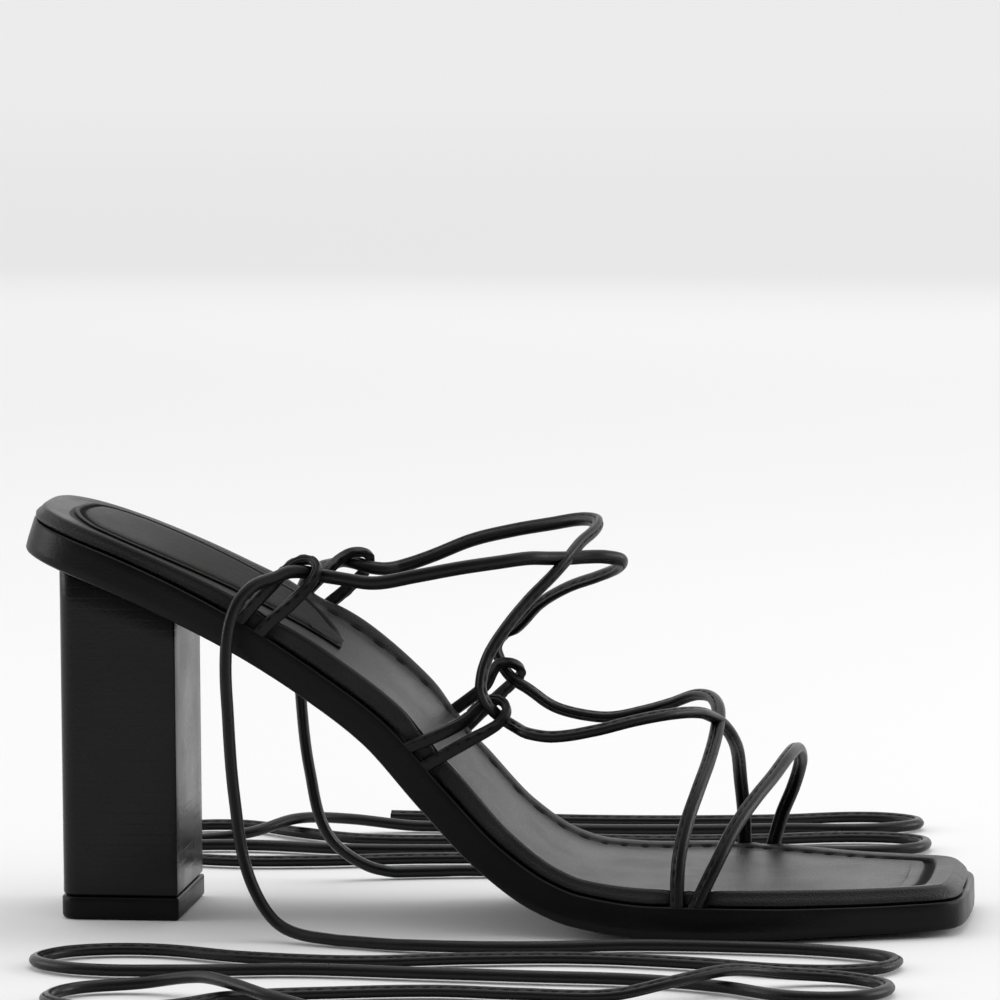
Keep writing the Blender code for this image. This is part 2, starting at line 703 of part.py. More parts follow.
def outsole():
    sides = (side_outline(LATERAL_ROWS, -1.0), side_outline(MEDIAL_ROWS, 1.0))

    def under(along):
        return -OUTSOLE_THICKNESS * outsole_share(along)

    top_round = OUTSOLE_EDGE / 2.0
    layers = (
        raised(drawn_in(sides, TREAD_CROWN_WIDTH), under),
        raised(inset(*sides, OUTSOLE_EDGE), lambda along: under(along) + TREAD_CROWN),
        raised(sides, lambda along: under(along) + TREAD_CROWN + OUTSOLE_EDGE),
        raised(sides, lambda along: -top_round),
        raised(inset(*sides, top_round), lambda along: 0.0),
    )
    return plate("outsole", layers, material("outsole leather", BLACK_LEATHER, 0.42))


def footbed():
    sides = (side_outline(LATERAL_ROWS, -1.0), side_outline(MEDIAL_ROWS, 1.0))
    edge = inset(*sides, FOOTBED_LEDGE, ledge_share)
    foot = FOOTBED_ROLL * ROLL_FOOT
    start = FOOTBED_ROLL * ROLL_START
    inward = FOOTBED_ROLL * ROLL_MIDDLE_IN
    down = FOOTBED_ROLL * ROLL_MIDDLE_DOWN
    layers = (
        raised(inset(*edge, foot), lambda along: CLEAR),
        raised(edge, lambda along: CLEAR + foot),
        raised(edge, lambda along: footbed_top(along) - start, True),
        raised(inset(*edge, inward), lambda along: footbed_top(along) - down, True),
        raised(inset(*edge, FOOTBED_ROLL), footbed_top, True),
        raised(inset(*edge, RIM_SLOPE), footbed_floor, True),
    )
    return plate("footbed", layers, material("footbed leather", FOOTBED_BLACK, 0.38))


def heel_sock():
    """Leather pad on the seat, with an oblique front edge that runs further forward laterally."""
    sides = (side_outline(LATERAL_ROWS, -1.0), side_outline(MEDIAL_ROWS, 1.0))
    lateral, medial = inset(*sides, FOOTBED_LEDGE + SOCK_MARGIN)
    lateral_end = sole_x(SOCK_FRONT_LATERAL)
    medial_end = sole_x(SOCK_FRONT_MEDIAL)
    near = [point for point in lateral if point.x < lateral_end]
    far = [point for point in medial if point.x < medial_end]
    count = min(len(near), len(far))
    near = even_count(near, count)
    far = even_count(far, count)
    front = (near[-1] + far[-1]) / 2.0 + Vector((SOCK_FRONT_BOW, 0.0, 0.0))
    near.append(front)
    far.append(front.copy())
    pad = (near, far)
    soft = SOCK_THICKNESS * SOCK_EDGE
    layers = (
        raised(inset(*pad, soft), lambda along: footbed_floor(along) + SOCK_GAP, True),
        raised(pad, lambda along: footbed_floor(along) + SOCK_GAP + soft, True),
        raised(pad, lambda along: footbed_floor(along) + SOCK_GAP + SOCK_THICKNESS - soft, True),
        raised(inset(*pad, soft), lambda along: footbed_floor(along) + SOCK_GAP + SOCK_THICKNESS, True),
    )
    return plate("heel_sock", layers, material("heel sock leather", FOOTBED_BLACK, 0.34))


def heel_rows(back, length, width, corner):
    """Outline of the block heel: rounded back corners and a square front."""
    near = []
    for step in range(HEEL_CORNER_STEPS + 1):
        angle = math.pi / 2.0 * step / HEEL_CORNER_STEPS
        near.append(Vector((back + corner * (1.0 - math.cos(angle)),
                            -(width / 2.0 - corner * (1.0 - math.sin(angle))), 0.0)))
    for step in range(1, HEEL_SIDE_STEPS + 1):
        forward = (length - corner) * step / HEEL_SIDE_STEPS
        near.append(Vector((back + corner + forward, -width / 2.0, 0.0)))
    far = [Vector((point.x, -point.y, 0.0)) for point in near]
    return near, far


def prism(name, near, far, floor, ceiling, made, chamfer=0.0):
    """Upright block between two heights, each a function of x; near and far share each x."""
    mesh = bmesh.new()
    ring_points = near + far[::-1]
    middle = sum(ring_points, Vector()) / len(ring_points)

    def ring(scale_in, height):
        verts = []
        for point in ring_points:
            inward = (middle - point).normalized() * scale_in
            place = point + inward
            verts.append(mesh.verts.new((place.x, place.y, height(place.x))))
        return verts

    rings = []
    if chamfer > 0.0:
        rings.append(ring(chamfer, floor))
        rings.append(ring(0.0, lambda x: floor(x) + chamfer))
    else:
        rings.append(ring(0.0, floor))
    rings.append(ring(0.0, ceiling))
    count = len(ring_points)
    for lower, upper in zip(rings, rings[1:]):
        for index in range(count):
            following = (index + 1) % count
            mesh.faces.new((lower[index], lower[following], upper[following], upper[index]))
    for verts in (rings[0], rings[-1]):
        for index in range(len(near) - 1):
            opposite = count - index - 1
            mesh.faces.new((verts[index], verts[index + 1], verts[opposite - 1], verts[opposite]))
    bmesh.ops.recalc_face_normals(mesh, faces=mesh.faces)
    data = bpy.data.meshes.new(name)
    mesh.to_mesh(data)
    mesh.free()
    return new_object(name, data, made)


def heel():
    back = -SOLE_LENGTH / 2.0 + HEEL_BACK
    near, far = heel_rows(back, HEEL_LENGTH, HEEL_WIDTH, HEEL_CORNER)
    prism("heel_block", near, far, lambda x: TOP_PIECE_HEIGHT + CLEAR, lambda x: underside(x) - HEEL_SEAT_GAP,
          material("stacked leather heel", HEEL_BLACK, 0.40))
    lip = TOP_PIECE_LIP
    near, far = heel_rows(back - lip, HEEL_LENGTH + 2.0 * lip, HEEL_WIDTH + 2.0 * lip, HEEL_CORNER)
    prism("heel_top_piece", near, far, lambda x: 0.0, lambda x: TOP_PIECE_HEIGHT,
          material("heel top piece rubber", RUBBER_BLACK, 0.30), TOP_PIECE_EDGE)


def toe_strap():
    near_root, near_rise = root_points(TOE_STRAP_ROOTS[0], -1.0)
    far_root, far_rise = root_points(TOE_STRAP_ROOTS[1], 1.0)
    route = [near_root, near_rise] + [strap_point(row) for row in TOE_STRAP_ROWS] + [far_rise, far_root]
    side = Vector((0.0, -1.0, 0.0))
    data = cord_mesh("toe_strap", route, CORD_WIDTH, CORD_THICKNESS, CORD_STEP, side, -side)
    return new_object("toe_strap", data, material("toe strap leather", BLACK_LEATHER, 0.36))


def lateral_lace_route():
    route = list(root_points(LATERAL_LACE_ROOT, -1.0))
    route += [strap_point(row) for row in LATERAL_VAMP_ROWS]
    route += lace_through("mid_medial", MID_LACE)
    route += [strap_point(row) for row in LATERAL_INSTEP_ROWS]
    return route + lace_through("heel_lateral", HEEL_LACE)


def medial_lace_route():
    route = list(root_points(MEDIAL_LACE_ROOT, 1.0))
    route += [strap_point(row) for row in MEDIAL_VAMP_ROWS]
    route += lace_through("mid_lateral", MID_LACE)
    route += [strap_point(row) for row in MEDIAL_INSTEP_ROWS]
    return route + lace_through("heel_medial", HEEL_LACE)


def crossed_straps():
    """The two laces as one upper, joined where they cross over the vamp and over the instep."""
    leather = material("crossed strap leather", BLACK_LEATHER, 0.36)
    side = Vector((0.0, -1.0, 0.0))
    first = cord_mesh("crossed_straps", lateral_lace_route(), CORD_WIDTH, CORD_THICKNESS, CORD_STEP, side)
    upper = new_object("crossed_straps", first, leather)
    second = cord_mesh("other_lace", medial_lace_route(), CORD_WIDTH, CORD_THICKNESS, CORD_STEP, -side)
    other = new_object("other_lace", second, leather)
    other.hide_render = True
    other.display_type = "WIRE"
    join = upper.modifiers.new("Crossings", "BOOLEAN")
    join.operation = "UNION"
    join.solver = "EXACT"
    join.object = other
    return upper


def lace_loop(name, node, back_leg, eye, front_leg):
    side = Vector((0.0, float(LOOP_ROWS[name][0]), 0.0))
    route = loop_route(name, back_leg, eye, front_leg)
    data = cord_mesh(node, route, LOOP_WIDTH, LOOP_THICKNESS, LOOP_STEP, side, -side)
    return new_object(node, data, material(node + " leather", BLACK_LEATHER, 0.36))


def tie(node, lace_route, floor_route):
    """Round tie that goes on from the end of a lace, lying on the floor."""
    end = lace_route[-1]
    ahead = (lace_route[-1] - lace_route[-2]).normalized()
    route = [end + ahead * CLEAR, end + ahead * TIE_LEAD]
    route += [Vector(point) * MM for point in floor_route]
    points = points_at_bends(spline(route, TIE_CURVE_STEPS), TIE_POINTS)
    curve = bpy.data.curves.new(node, "CURVE")
    curve.dimensions = "3D"
    curve.bevel_depth = TIE_DIAMETER / 2.0
    curve.bevel_resolution = TIE_ROUND_STEPS
    curve.use_fill_caps = True
    path = curve.splines.new("POLY")
    path.points.add(len(points) - 1)
    for knot, point in zip(path.points, points):
        knot.co = (point.x, point.y, max(point.z, TIE_DIAMETER / 2.0), 1.0)
    curve.materials.append(material(node + " leather", BLACK_LEATHER, 0.36))
    item = bpy.data.objects.new(node, curve)
    bpy.context.collection.objects.link(item)
    return item


def main():
    clear_scene()
    outsole()
    footbed()
    heel_sock()
    heel()
    toe_strap()
    crossed_straps()
    lace_loop("mid_lateral", "mid_loop_lateral", MID_BACK_LEG, MID_EYE, MID_FRONT_LEG)
    lace_loop("mid_medial", "mid_loop_medial", MID_BACK_LEG, MID_EYE, MID_FRONT_LEG)
    lace_loop("heel_lateral", "heel_loop_lateral", HEEL_BACK_LEG, HEEL_EYE, HEEL_FRONT_LEG)
    lace_loop("heel_medial", "heel_loop_medial", HEEL_BACK_LEG, HEEL_EYE, HEEL_FRONT_LEG)
    tie("tie_lateral", lateral_lace_route(), LATERAL_TIE_ROUTE)
    tie("tie_medial", medial_lace_route(), MEDIAL_TIE_ROUTE)


main()
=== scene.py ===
"""Looks of a lace-up heeled sandal for a right foot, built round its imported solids.

Metres, +Z up, toe along +X, medial side along +Y.
"""
import math

import bpy
import numpy as np
from mathutils import Matrix, Quaternion, Vector
from mathutils.geometry import interpolate_bezier


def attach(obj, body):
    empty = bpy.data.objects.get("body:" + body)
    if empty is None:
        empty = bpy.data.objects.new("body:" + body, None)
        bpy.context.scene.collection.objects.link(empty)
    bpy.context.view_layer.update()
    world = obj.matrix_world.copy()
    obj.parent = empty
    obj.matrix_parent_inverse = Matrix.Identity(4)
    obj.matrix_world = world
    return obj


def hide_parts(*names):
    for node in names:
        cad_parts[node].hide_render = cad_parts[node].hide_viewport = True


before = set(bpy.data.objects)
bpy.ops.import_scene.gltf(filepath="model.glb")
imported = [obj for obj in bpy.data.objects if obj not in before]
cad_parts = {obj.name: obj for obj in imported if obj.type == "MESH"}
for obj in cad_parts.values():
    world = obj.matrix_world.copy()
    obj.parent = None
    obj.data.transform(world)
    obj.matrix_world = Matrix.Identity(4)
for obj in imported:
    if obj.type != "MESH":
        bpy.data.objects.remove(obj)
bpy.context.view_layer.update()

# Camera: a little in front of the sandal's lateral side and a little above it, with a long lens.
# Its place was worked out from where heel, seat, waist, ball and toe lie in the photo.
CAMERA_PLACE = (0.2110, -1.6198, 0.2867)
CAMERA_TURN = 7.4
CAMERA_DOWN = 6.5
CAMERA_ROLL = -0.39
CAMERA_LENS = 246.24

turn, down, roll = (math.radians(angle) for angle in (CAMERA_TURN, CAMERA_DOWN, CAMERA_ROLL))
look = Vector((-math.sin(turn) * math.cos(down), math.cos(turn) * math.cos(down), -math.sin(down)))
level = Vector((math.cos(turn), math.sin(turn), 0.0))
upright = level.cross(look)
camera_right = level * math.cos(roll) + upright * math.sin(roll)
camera_up = upright * math.cos(roll) - level * math.sin(roll)
camera_data = bpy.data.cameras.new("camera")
camera_data.lens = CAMERA_LENS
camera_data.sensor_width = 36.0
camera_data.clip_end = 50.0
camera = bpy.data.objects.new("camera", camera_data)
camera_axes = Matrix((camera_right, camera_up, -look)).transposed()
camera.matrix_world = Matrix.Translation(CAMERA_PLACE) @ camera_axes.to_4x4()
bpy.context.scene.collection.objects.link(camera)
bpy.context.scene.camera = camera

# The ankle ties: two long cords of black leather, a strip folded round a thin core and stitched
# beside the roll, so each has a round roll, a sewn channel and a thin lip. They go on from the
# laces behind the heel loops and lie loose on the floor up to their cut ends.
MM = 0.001
TIE_DIAMETER = 0.0033
CORD_WIDTH = 0.0034
CORD_THICKNESS = 0.0028
TIE_STEP = 0.0011
FLOOR_REST = 0.0045          # a tie this low lies flat
STITCH_PITCH = 0.0030
THREAD_SHARE = 0.62          # of a stitch that shows its thread
THREAD_RISE = 0.16           # the thread stands this much further out in the channel
STITCH_PALER = 0.6           # a thread gets this much less painted shade than its channel
CURVE_STEPS = 8              # between two points of a route
CORD_SHARP_ANGLE = 50.0
TINY = 1e-9
UP = Vector((0.0, 0.0, 1.0))
LATERAL_LACE_END = (-49.1, -30.3, 85.15)
LATERAL_TIE_AHEAD = (-54.2, -34.2, 83.3)
LATERAL_TIE_ROUTE = (
    (-58, -37.2, 78.5), (-59.8, -38.6, 70), (-59.5, -39, 53), (-58, -39.5, 33), (-54.5, -41, 15),
    (-47, -44, 4.2), (-34, -49, 1.75), (-12, -55, 1.75), (14, -55, 1.75), (38, -50, 1.75),
    (62, -50, 1.75), (86, -54, 1.75), (100, -63, 1.75), (97, -75, 1.75), (79, -79, 1.75),
    (54, -72, 1.75), (28, -68, 1.75), (2, -71, 1.75), (-24, -77, 1.75), (-50, -74, 1.75),
    (-74, -66, 1.75), (-92, -70, 1.75), (-98, -82, 1.75), (-86, -92, 1.75), (-62, -92, 1.75),
    (-36, -88, 1.75), (-8, -90, 1.75), (18, -92, 1.75), (44, -94, 1.75), (64, -101, 1.75),
    (80, -111, 1.75), (95, -110, 1.75), (101, -98, 1.75), (92, -88, 1.75), (77, -90, 3),
    (65, -100, 5.4), (54, -109, 4.4), (40, -114, 1.9), (20, -114, 1.75), (0, -112, 1.75),
    (-22, -116, 1.75), (-46, -124, 1.75), (-58, -136, 1.75), (-74, -140, 1.75), (-86, -130, 1.75),
    (-83, -117, 1.75), (-68, -112, 2.4), (-54, -117, 5), (-46, -124.5, 5.4), (-35, -133, 4),
    (-20, -138, 1.75), (2, -138, 1.75), (26, -133, 1.75), (50, -130, 1.75), (72, -133, 1.75),
    (86, -142, 1.75), (84, -155, 1.75), (68, -160, 1.75), (44, -156, 1.75), (20, -151, 1.75),
    (-6, -153, 1.75), (-32, -157, 1.75), (-56, -155, 1.75), (-76, -155, 1.75), (-93, -162, 1.75),
)
MEDIAL_LACE_END = (-44.5, 29.3, 81.2)
MEDIAL_TIE_AHEAD = (-49.6, 33.2, 79.3)
MEDIAL_TIE_ROUTE = (
    (-53.2, 36, 75), (-55, 37.5, 66), (-54.5, 38.2, 48), (-52.5, 39.2, 28), (-48, 41.5, 11),
    (-37, 45.5, 2.6), (-16, 50, 1.75), (8, 52, 1.75), (34, 50, 1.75), (60, 49, 1.75), (84, 54, 1.75),
    (97, 63, 1.75), (94, 74, 1.75), (76, 78, 1.75), (50, 71, 1.75), (24, 66, 1.75), (-4, 69, 1.75),
    (-30, 67, 1.75), (-56, 61, 1.75), (-80, 60, 1.75), (-95, 68, 1.75), (-93, 80, 1.75),
    (-76, 84, 1.75), (-50, 80, 1.75), (-24, 81, 1.75), (2, 85, 1.75), (28, 86, 1.75), (54, 89, 1.75),
    (78, 88, 1.75), (94, 94, 1.75), (95, 105, 1.75), (80, 110, 1.75), (54, 104, 1.75), (28, 100, 1.75),
    (2, 100, 1.75), (-24, 96, 1.75), (-48, 96, 1.75), (-66, 105, 1.75), (-82, 115, 1.75),
    (-97, 112, 1.75), (-101, 100, 1.75), (-91, 92, 1.75), (-77, 95, 3.2), (-66.5, 104.5, 5.4),
    (-55, 113, 4.2), (-38, 118, 1.75), (-14, 117, 1.75), (12, 116, 1.75), (36, 118, 1.75),
    (60, 122, 1.75), (82, 124, 1.75), (92, 134, 1.75), (80, 142, 1.75), (56, 136, 1.75),
    (30, 132, 1.75), (4, 131, 1.75), (-22, 133, 1.75), (-46, 134, 1.75),
)
LATERAL_THIN_WAY = Vector((0.636, -0.668, -0.386))
MEDIAL_THIN_WAY = Vector((0.587, 0.493, -0.642))

# Section of a rolled cord round its middle: angle from the wide way in degrees, then how far out
# the leather stands there, as shares of half the width and half the thickness.
ROLLED_SECTION = (
    (0, 1.00), (14, 1.00), (28, 1.00), (43, 1.01), (58, 1.02), (73, 1.02), (88, 1.01), (100, 0.98),
    (111, 0.88), (119, 0.72), (126, 0.72), (134, 0.86), (144, 0.93), (156, 0.97), (168, 0.99),
    (180, 1.00), (192, 0.99), (204, 0.97), (216, 0.92), (226, 0.82), (234, 0.76), (242, 0.82),
    (252, 0.95), (266, 1.01), (282, 1.02), (298, 1.02), (314, 1.01), (330, 1.00), (346, 1.00),
)
SEAM_ANGLES = ((114, 130), (228, 240))   # the sewn channel, on both faces


def spline(points, steps):
    """Smooth curve through points, with a number of steps between each two."""
    ends = [points[0] * 2.0 - points[1]] + list(points) + [points[-1] * 2.0 - points[-2]]
    curve = [points[0].copy()]
    for before, start, end, after in zip(ends, ends[1:], ends[2:], ends[3:]):
        span = (end - start).length
        left = span / max((start - before).length + span, TINY)
        right = span / max((after - end).length + span, TINY)
        handle_start = start + (end - before) * (left * span / max((end - before).length, TINY) / 1.5)
        handle_end = end - (after - start) * (right * span / max((after - start).length, TINY) / 1.5)
        curve += interpolate_bezier(start, handle_start, handle_end, end, steps + 1)[1:]
    return curve


def way_along(places):
    """How far along a row of places each of them lies."""
    return np.concatenate([[0.0], np.cumsum(np.linalg.norm(np.diff(places, axis=0), axis=1))])


def spaced(places, count):
    """The same row with its places spread evenly."""
    gone = way_along(places)
    wanted = np.linspace(0.0, gone[-1], count)
    return np.stack([np.interp(wanted, gone, column) for column in places.T], axis=1)


def even_steps(points, step):
    """Points at even steps along a polyline."""
    places = np.array([tuple(point) for point in points])
    count = max(int(round(way_along(places)[-1] / step)), 2) + 1
    return [Vector(place) for place in spaced(places, count)]


def cord_frames(points, thin_start, thin_end, flat_from=None):
    """Way ahead and thin way of a cord at each point; from flat_from on it lies flat on the floor."""
    ahead = []
    for index in range(len(points)):
        before = points[max(index - 1, 0)]
        after = points[min(index + 1, len(points) - 1)]
        ahead.append((after - before).normalized())
    thin = [(thin_start - ahead[0] * thin_start.dot(ahead[0])).normalized()]
    for old, new in zip(ahead, ahead[1:]):
        turned = old.rotation_difference(new) @ thin[-1]
        thin.append((turned - new * turned.dot(new)).normalized())
    last = len(points) - 1
    if flat_from is not None:
        last = flat_from
        thin_end = UP
    if thin_end is not None:
        wanted = (thin_end - ahead[last] * thin_end.dot(ahead[last])).normalized()
        twist = math.atan2(thin[last].cross(wanted).dot(ahead[last]), thin[last].dot(wanted))
        for index in range(last + 1):
            thin[index] = Quaternion(ahead[index], twist * index / last) @ thin[index]
    for index in range(last + 1, len(points)):
        thin[index] = (UP - ahead[index] * ahead[index].z).normalized()
    return ahead, thin


def faces_between(rings):
    """Four-cornered faces between each two rings of corner numbers."""
    low, high = rings[:-1], rings[1:]
    corners = (low, np.roll(low, -1, axis=1), np.roll(high, -1, axis=1), high)
    return np.stack(corners, axis=-1).reshape(-1, 4).tolist()


def add_piece(name, points, faces, sharp_angle, painted_shade=None):
    """Mesh in the scene, smooth up to an angle, with the painted shade at each corner."""
    mesh = bpy.data.meshes.new(name)
    mesh.from_pydata(points, [], faces)
    if painted_shade is not None:
        layer = mesh.attributes.new("painted_shade", "FLOAT", "POINT")
        layer.data.foreach_set("value", painted_shade)
    mesh.shade_smooth()
    mesh.set_sharp_from_angle(angle=math.radians(sharp_angle))
    piece = bpy.data.objects.new(name, mesh)
    bpy.context.scene.collection.objects.link(piece)
    return piece


def rolled_cord(name, points, frames, width, thickness, press=None, section=ROLLED_SECTION):
    """Rolled and stitched cord of leather along points. The channel's threads are small bumps in it. The
    channel gets painted shade, a little less on its threads.
    """
    ahead, thin = frames
    degrees = np.array([row[0] for row in section])
    reach = np.array([row[1] for row in section])
    angles = np.radians(degrees)
    seam = np.zeros(len(degrees))
    for low, high in SEAM_ANGLES:
        seam[(degrees >= low) & (degrees <= high)] = 1.0
    gone = 0.0
    rings = []
    dark = []
    for index, (point, way, flat) in enumerate(zip(points, ahead, thin)):
        if index:
            gone += (point - points[index - 1]).length
        wide, deep = (width, thickness) if press is None else press(index, gone)
        side = np.array(way.cross(flat))
        flat = np.array(flat)
        thread = THREAD_RISE if gone % STITCH_PITCH < THREAD_SHARE * STITCH_PITCH else 0.0
        out = reach + seam * thread
        ring = (np.array(point)[None, :] + np.outer(np.cos(angles) * out * wide / 2.0, side)
                + np.outer(np.sin(angles) * out * deep / 2.0, flat))
        rings.append(ring)
        # Painted shade in the sewn channel, less where a thread stands.
        dark.append(seam * (1.0 - STITCH_PALER * (thread > 0.0)))
    rings = np.array(rings)
    index = np.arange(rings.size // 3).reshape(rings.shape[:2])
    faces = faces_between(index) + [index[0][::-1].tolist(), index[-1].tolist()]
    return add_piece(name, rings.reshape(-1, 3).tolist(), faces, CORD_SHARP_ANGLE, np.array(dark).ravel())


def add_node(tree, kind, settings=None):
    """New node with values set on its sockets."""
    node = tree.nodes.new(kind)
    for socket, value in (settings or {}).items():
        node.inputs[socket].default_value = value
    return node


def add_noise(tree, place, scale, detail, roughness=0.5):
    """Soft random pattern over a piece."""
    settings = {"Scale": scale, "Detail": detail, "Roughness": roughness}
    noise = add_node(tree, "ShaderNodeTexNoise", settings)
    tree.links.new(place, noise.inputs["Vector"])
    return noise.outputs["Fac"]


def add_ramp(tree, share, stops):
    """Colour ramp with two stops, each a position and a colour."""
    ramp_node = add_node(tree, "ShaderNodeValToRGB")
    for element, (position, colour) in zip(ramp_node.color_ramp.elements, stops):
        element.position = position
        element.color = (*colour, 1.0)
    tree.links.new(share, ramp_node.inputs["Fac"])
    return ramp_node.outputs["Color"]


def add_bump(tree, height, strength, distance, below=None):
    """Bump from a height, laid over the one below it."""
    bump = add_node(tree, "ShaderNodeBump", {"Strength": strength, "Distance": distance})
    tree.links.new(height, bump.inputs["Height"])
    if below is not None:
        tree.links.new(below, bump.inputs["Normal"])
    return bump.outputs["Normal"]


def leather(name, colour, roughness, specular, grain, grain_depth, crease=0.0, tones=(0.72, 1.30)):
    """Dyed leather: colour that wanders a little, fine pores and soft creases, darkened and dulled where
    its corners carry painted shade.
    """
    made = bpy.data.materials.new(name)
    made.use_nodes = True
    tree = made.node_tree
    shader = tree.nodes["Principled BSDF"]
    shader.inputs["Specular IOR Level"].default_value = specular
    place = add_node(tree, "ShaderNodeTexCoord").outputs["Object"]
    cloud = add_noise(tree, place, scale=60.0, detail=4.0)
    low, high = ([share * tone for share in colour] for tone in tones)
    tint = add_ramp(tree, cloud, ((0.32, low), (0.70, high)))
    # Painted shade: the painted_shade attribute mixes the colour towards near black and the roughness
    # towards 1.
    painted_shade = add_node(tree, "ShaderNodeAttribute")
    painted_shade.attribute_name = "painted_shade"
    darken = add_node(tree, "ShaderNodeMix")
    darken.data_type = "RGBA"
    darken.inputs["B"].default_value = (0.0012, 0.0012, 0.0013, 1.0)
    tree.links.new(painted_shade.outputs["Fac"], darken.inputs["Factor"])
    tree.links.new(tint, darken.inputs["A"])
    tree.links.new(darken.outputs["Result"], shader.inputs["Base Color"])
    polish = add_node(tree, "ShaderNodeMapRange", {
        "From Min": 0.3, "From Max": 0.7, "To Min": roughness - 0.05, "To Max": roughness + 0.07})
    tree.links.new(cloud, polish.inputs["Value"])
    dull = add_node(tree, "ShaderNodeMix", {"B": 1.0})
    tree.links.new(painted_shade.outputs["Fac"], dull.inputs["Factor"])
    tree.links.new(polish.outputs["Result"], dull.inputs["A"])
    tree.links.new(dull.outputs["Result"], shader.inputs["Roughness"])
    pores = add_node(tree, "ShaderNodeTexVoronoi", {"Scale": 1.0 / grain})
    tree.links.new(place, pores.inputs["Vector"])
    normal = add_bump(tree, pores.outputs["Distance"], 0.35, grain_depth)
    fine = add_noise(tree, place, scale=1.6 / grain, detail=3.0)
    normal = add_bump(tree, fine, 0.30, grain_depth, normal)
    if crease > 0.0:
        soft = add_noise(tree, place, scale=260.0, detail=5.0, roughness=0.62)
        normal = add_bump(tree, soft, 0.6, crease, normal)
    tree.links.new(normal, shader.inputs["Normal"])
    return made


strap_leather = leather("rolled strap leather", (0.0026, 0.0026, 0.0029), 0.30, 0.25,
                        0.00035, 0.00012, 0.00008)


def tie(name, node, lace_end, tie_ahead, route, thin_way):
    """Free tie from the end of its lace to its cut end on the floor."""
    points = [Vector(lace_end) * MM, Vector(tie_ahead) * MM] + [Vector(point) * MM for point in route]
    points = even_steps(spline(points, CURVE_STEPS), TIE_STEP)
    for point in points:
        point.z = max(point.z, TIE_DIAMETER / 2.0)
    flat_from = next(index for index, point in enumerate(points) if point.z < FLOOR_REST)
    frames = cord_frames(points, thin_way, None, flat_from)
    made = rolled_cord(name, points, frames, CORD_WIDTH, CORD_THICKNESS)
    made.data.materials.append(strap_leather)
    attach(made, "root")
    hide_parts(node)


tie("ankle_tie_lateral", "tie_lateral", LATERAL_LACE_END, LATERAL_TIE_AHEAD, LATERAL_TIE_ROUTE,
    LATERAL_THIN_WAY)
tie("ankle_tie_medial", "tie_medial", MEDIAL_LACE_END, MEDIAL_TIE_AHEAD, MEDIAL_TIE_ROUTE,
    MEDIAL_THIN_WAY)

# The outsole: a firm leather sole with dyed and polished edges, cut square, laid over the last
# from the seat down the shank to the squared toe. Its tread is flat under the ball and the heel.
SOLE_LENGTH = 0.2300
BALL_WIDTH = 0.0788
HEEL_PITCH = 0.0882
TOE_SPRING = 0.0008
OUTSOLE_THICKNESS = 0.0088
FOOTBED_THICKNESS = 0.0036
FOOTBED_LEDGE = 0.0024
RIM_DEPTH = 0.0012
ARCH_RISE = 0.0019
CLEAR = 0.0003
TREAD_CROWN_WIDTH = 0.0095
TOE_DROP = 0.0011
TOE_DROP_REACH = (0.045, 0.098)
OUTLINE_POINTS = 380         # on each side
OUTLINE_STEPS = 12           # between two of its rows
BLOCK_SHARP_ANGLE = 40.0
SLOPE_REACH = 0.004          # the sole's slope is taken this far to both sides, as a share
# Rounded edges of the outsole: how far in, and how far from its underside or its top.
TREAD_EDGE = ((0.0020, 0.00070), (0.0010, 0.00090), (0.0004, 0.00120), (0.0001, 0.00155))
TREAD_EDGE_HEIGHT = 0.0016
TOP_EDGE = ((0.0, 0.0005), (0.0001, 0.0002), (0.0003, 0.00005), (0.0006, 0.0), (0.0030, 0.0))
# Side view of the outsole's top: along (share of the length), pitch (share of HEEL_PITCH) and
# spring (share of TOE_SPRING), with how thick outsole and footbed are there, how deep the footbed's
# rim stands, how wide the bare ledge is and how far the arch is raised (shares of their sizes).
SIDE_ROWS = (
    # along, pitch, spring, outsole, footbed, rim, ledge, arch
    (0.000, 1.013, 0.0, 1.02, 0.92, 0.25, 0.25, 0.00),
    (0.064, 0.958, 0.0, 1.03, 0.90, 0.25, 0.75, 0.00),
    (0.117, 0.908, 0.0, 1.03, 0.86, 0.30, 1.00, 0.00),
    (0.202, 0.806, 0.0, 1.01, 0.98, 0.60, 1.00, 0.05),
    (0.268, 0.708, 0.0, 0.95, 1.14, 0.90, 1.00, 0.50),
    (0.332, 0.599, 0.0, 0.93, 1.30, 1.00, 1.00, 1.00),
    (0.396, 0.474, 0.0, 0.95, 1.30, 1.00, 1.00, 0.45),
    (0.460, 0.292, 0.0, 0.97, 1.22, 1.00, 1.00, 0.00),
    (0.517, 0.142, 0.0, 0.98, 1.02, 1.00, 1.00, 0.00),
    (0.570, 0.051, 0.0, 1.00, 0.88, 1.00, 1.00, 0.00),
    (0.603, 0.021, 0.0, 1.00, 0.86, 1.00, 1.00, 0.00),
    (0.676, 0.000, 0.0, 1.00, 0.95, 1.00, 1.00, 0.00),
    (0.800, 0.000, 0.0, 1.00, 0.88, 1.00, 1.00, 0.00),
    (0.880, 0.000, 0.3, 1.00, 0.70, 0.80, 1.00, 0.00),
    (1.000, 0.000, 1.0, 1.00, 0.56, 0.60, 1.00, 0.00),
)
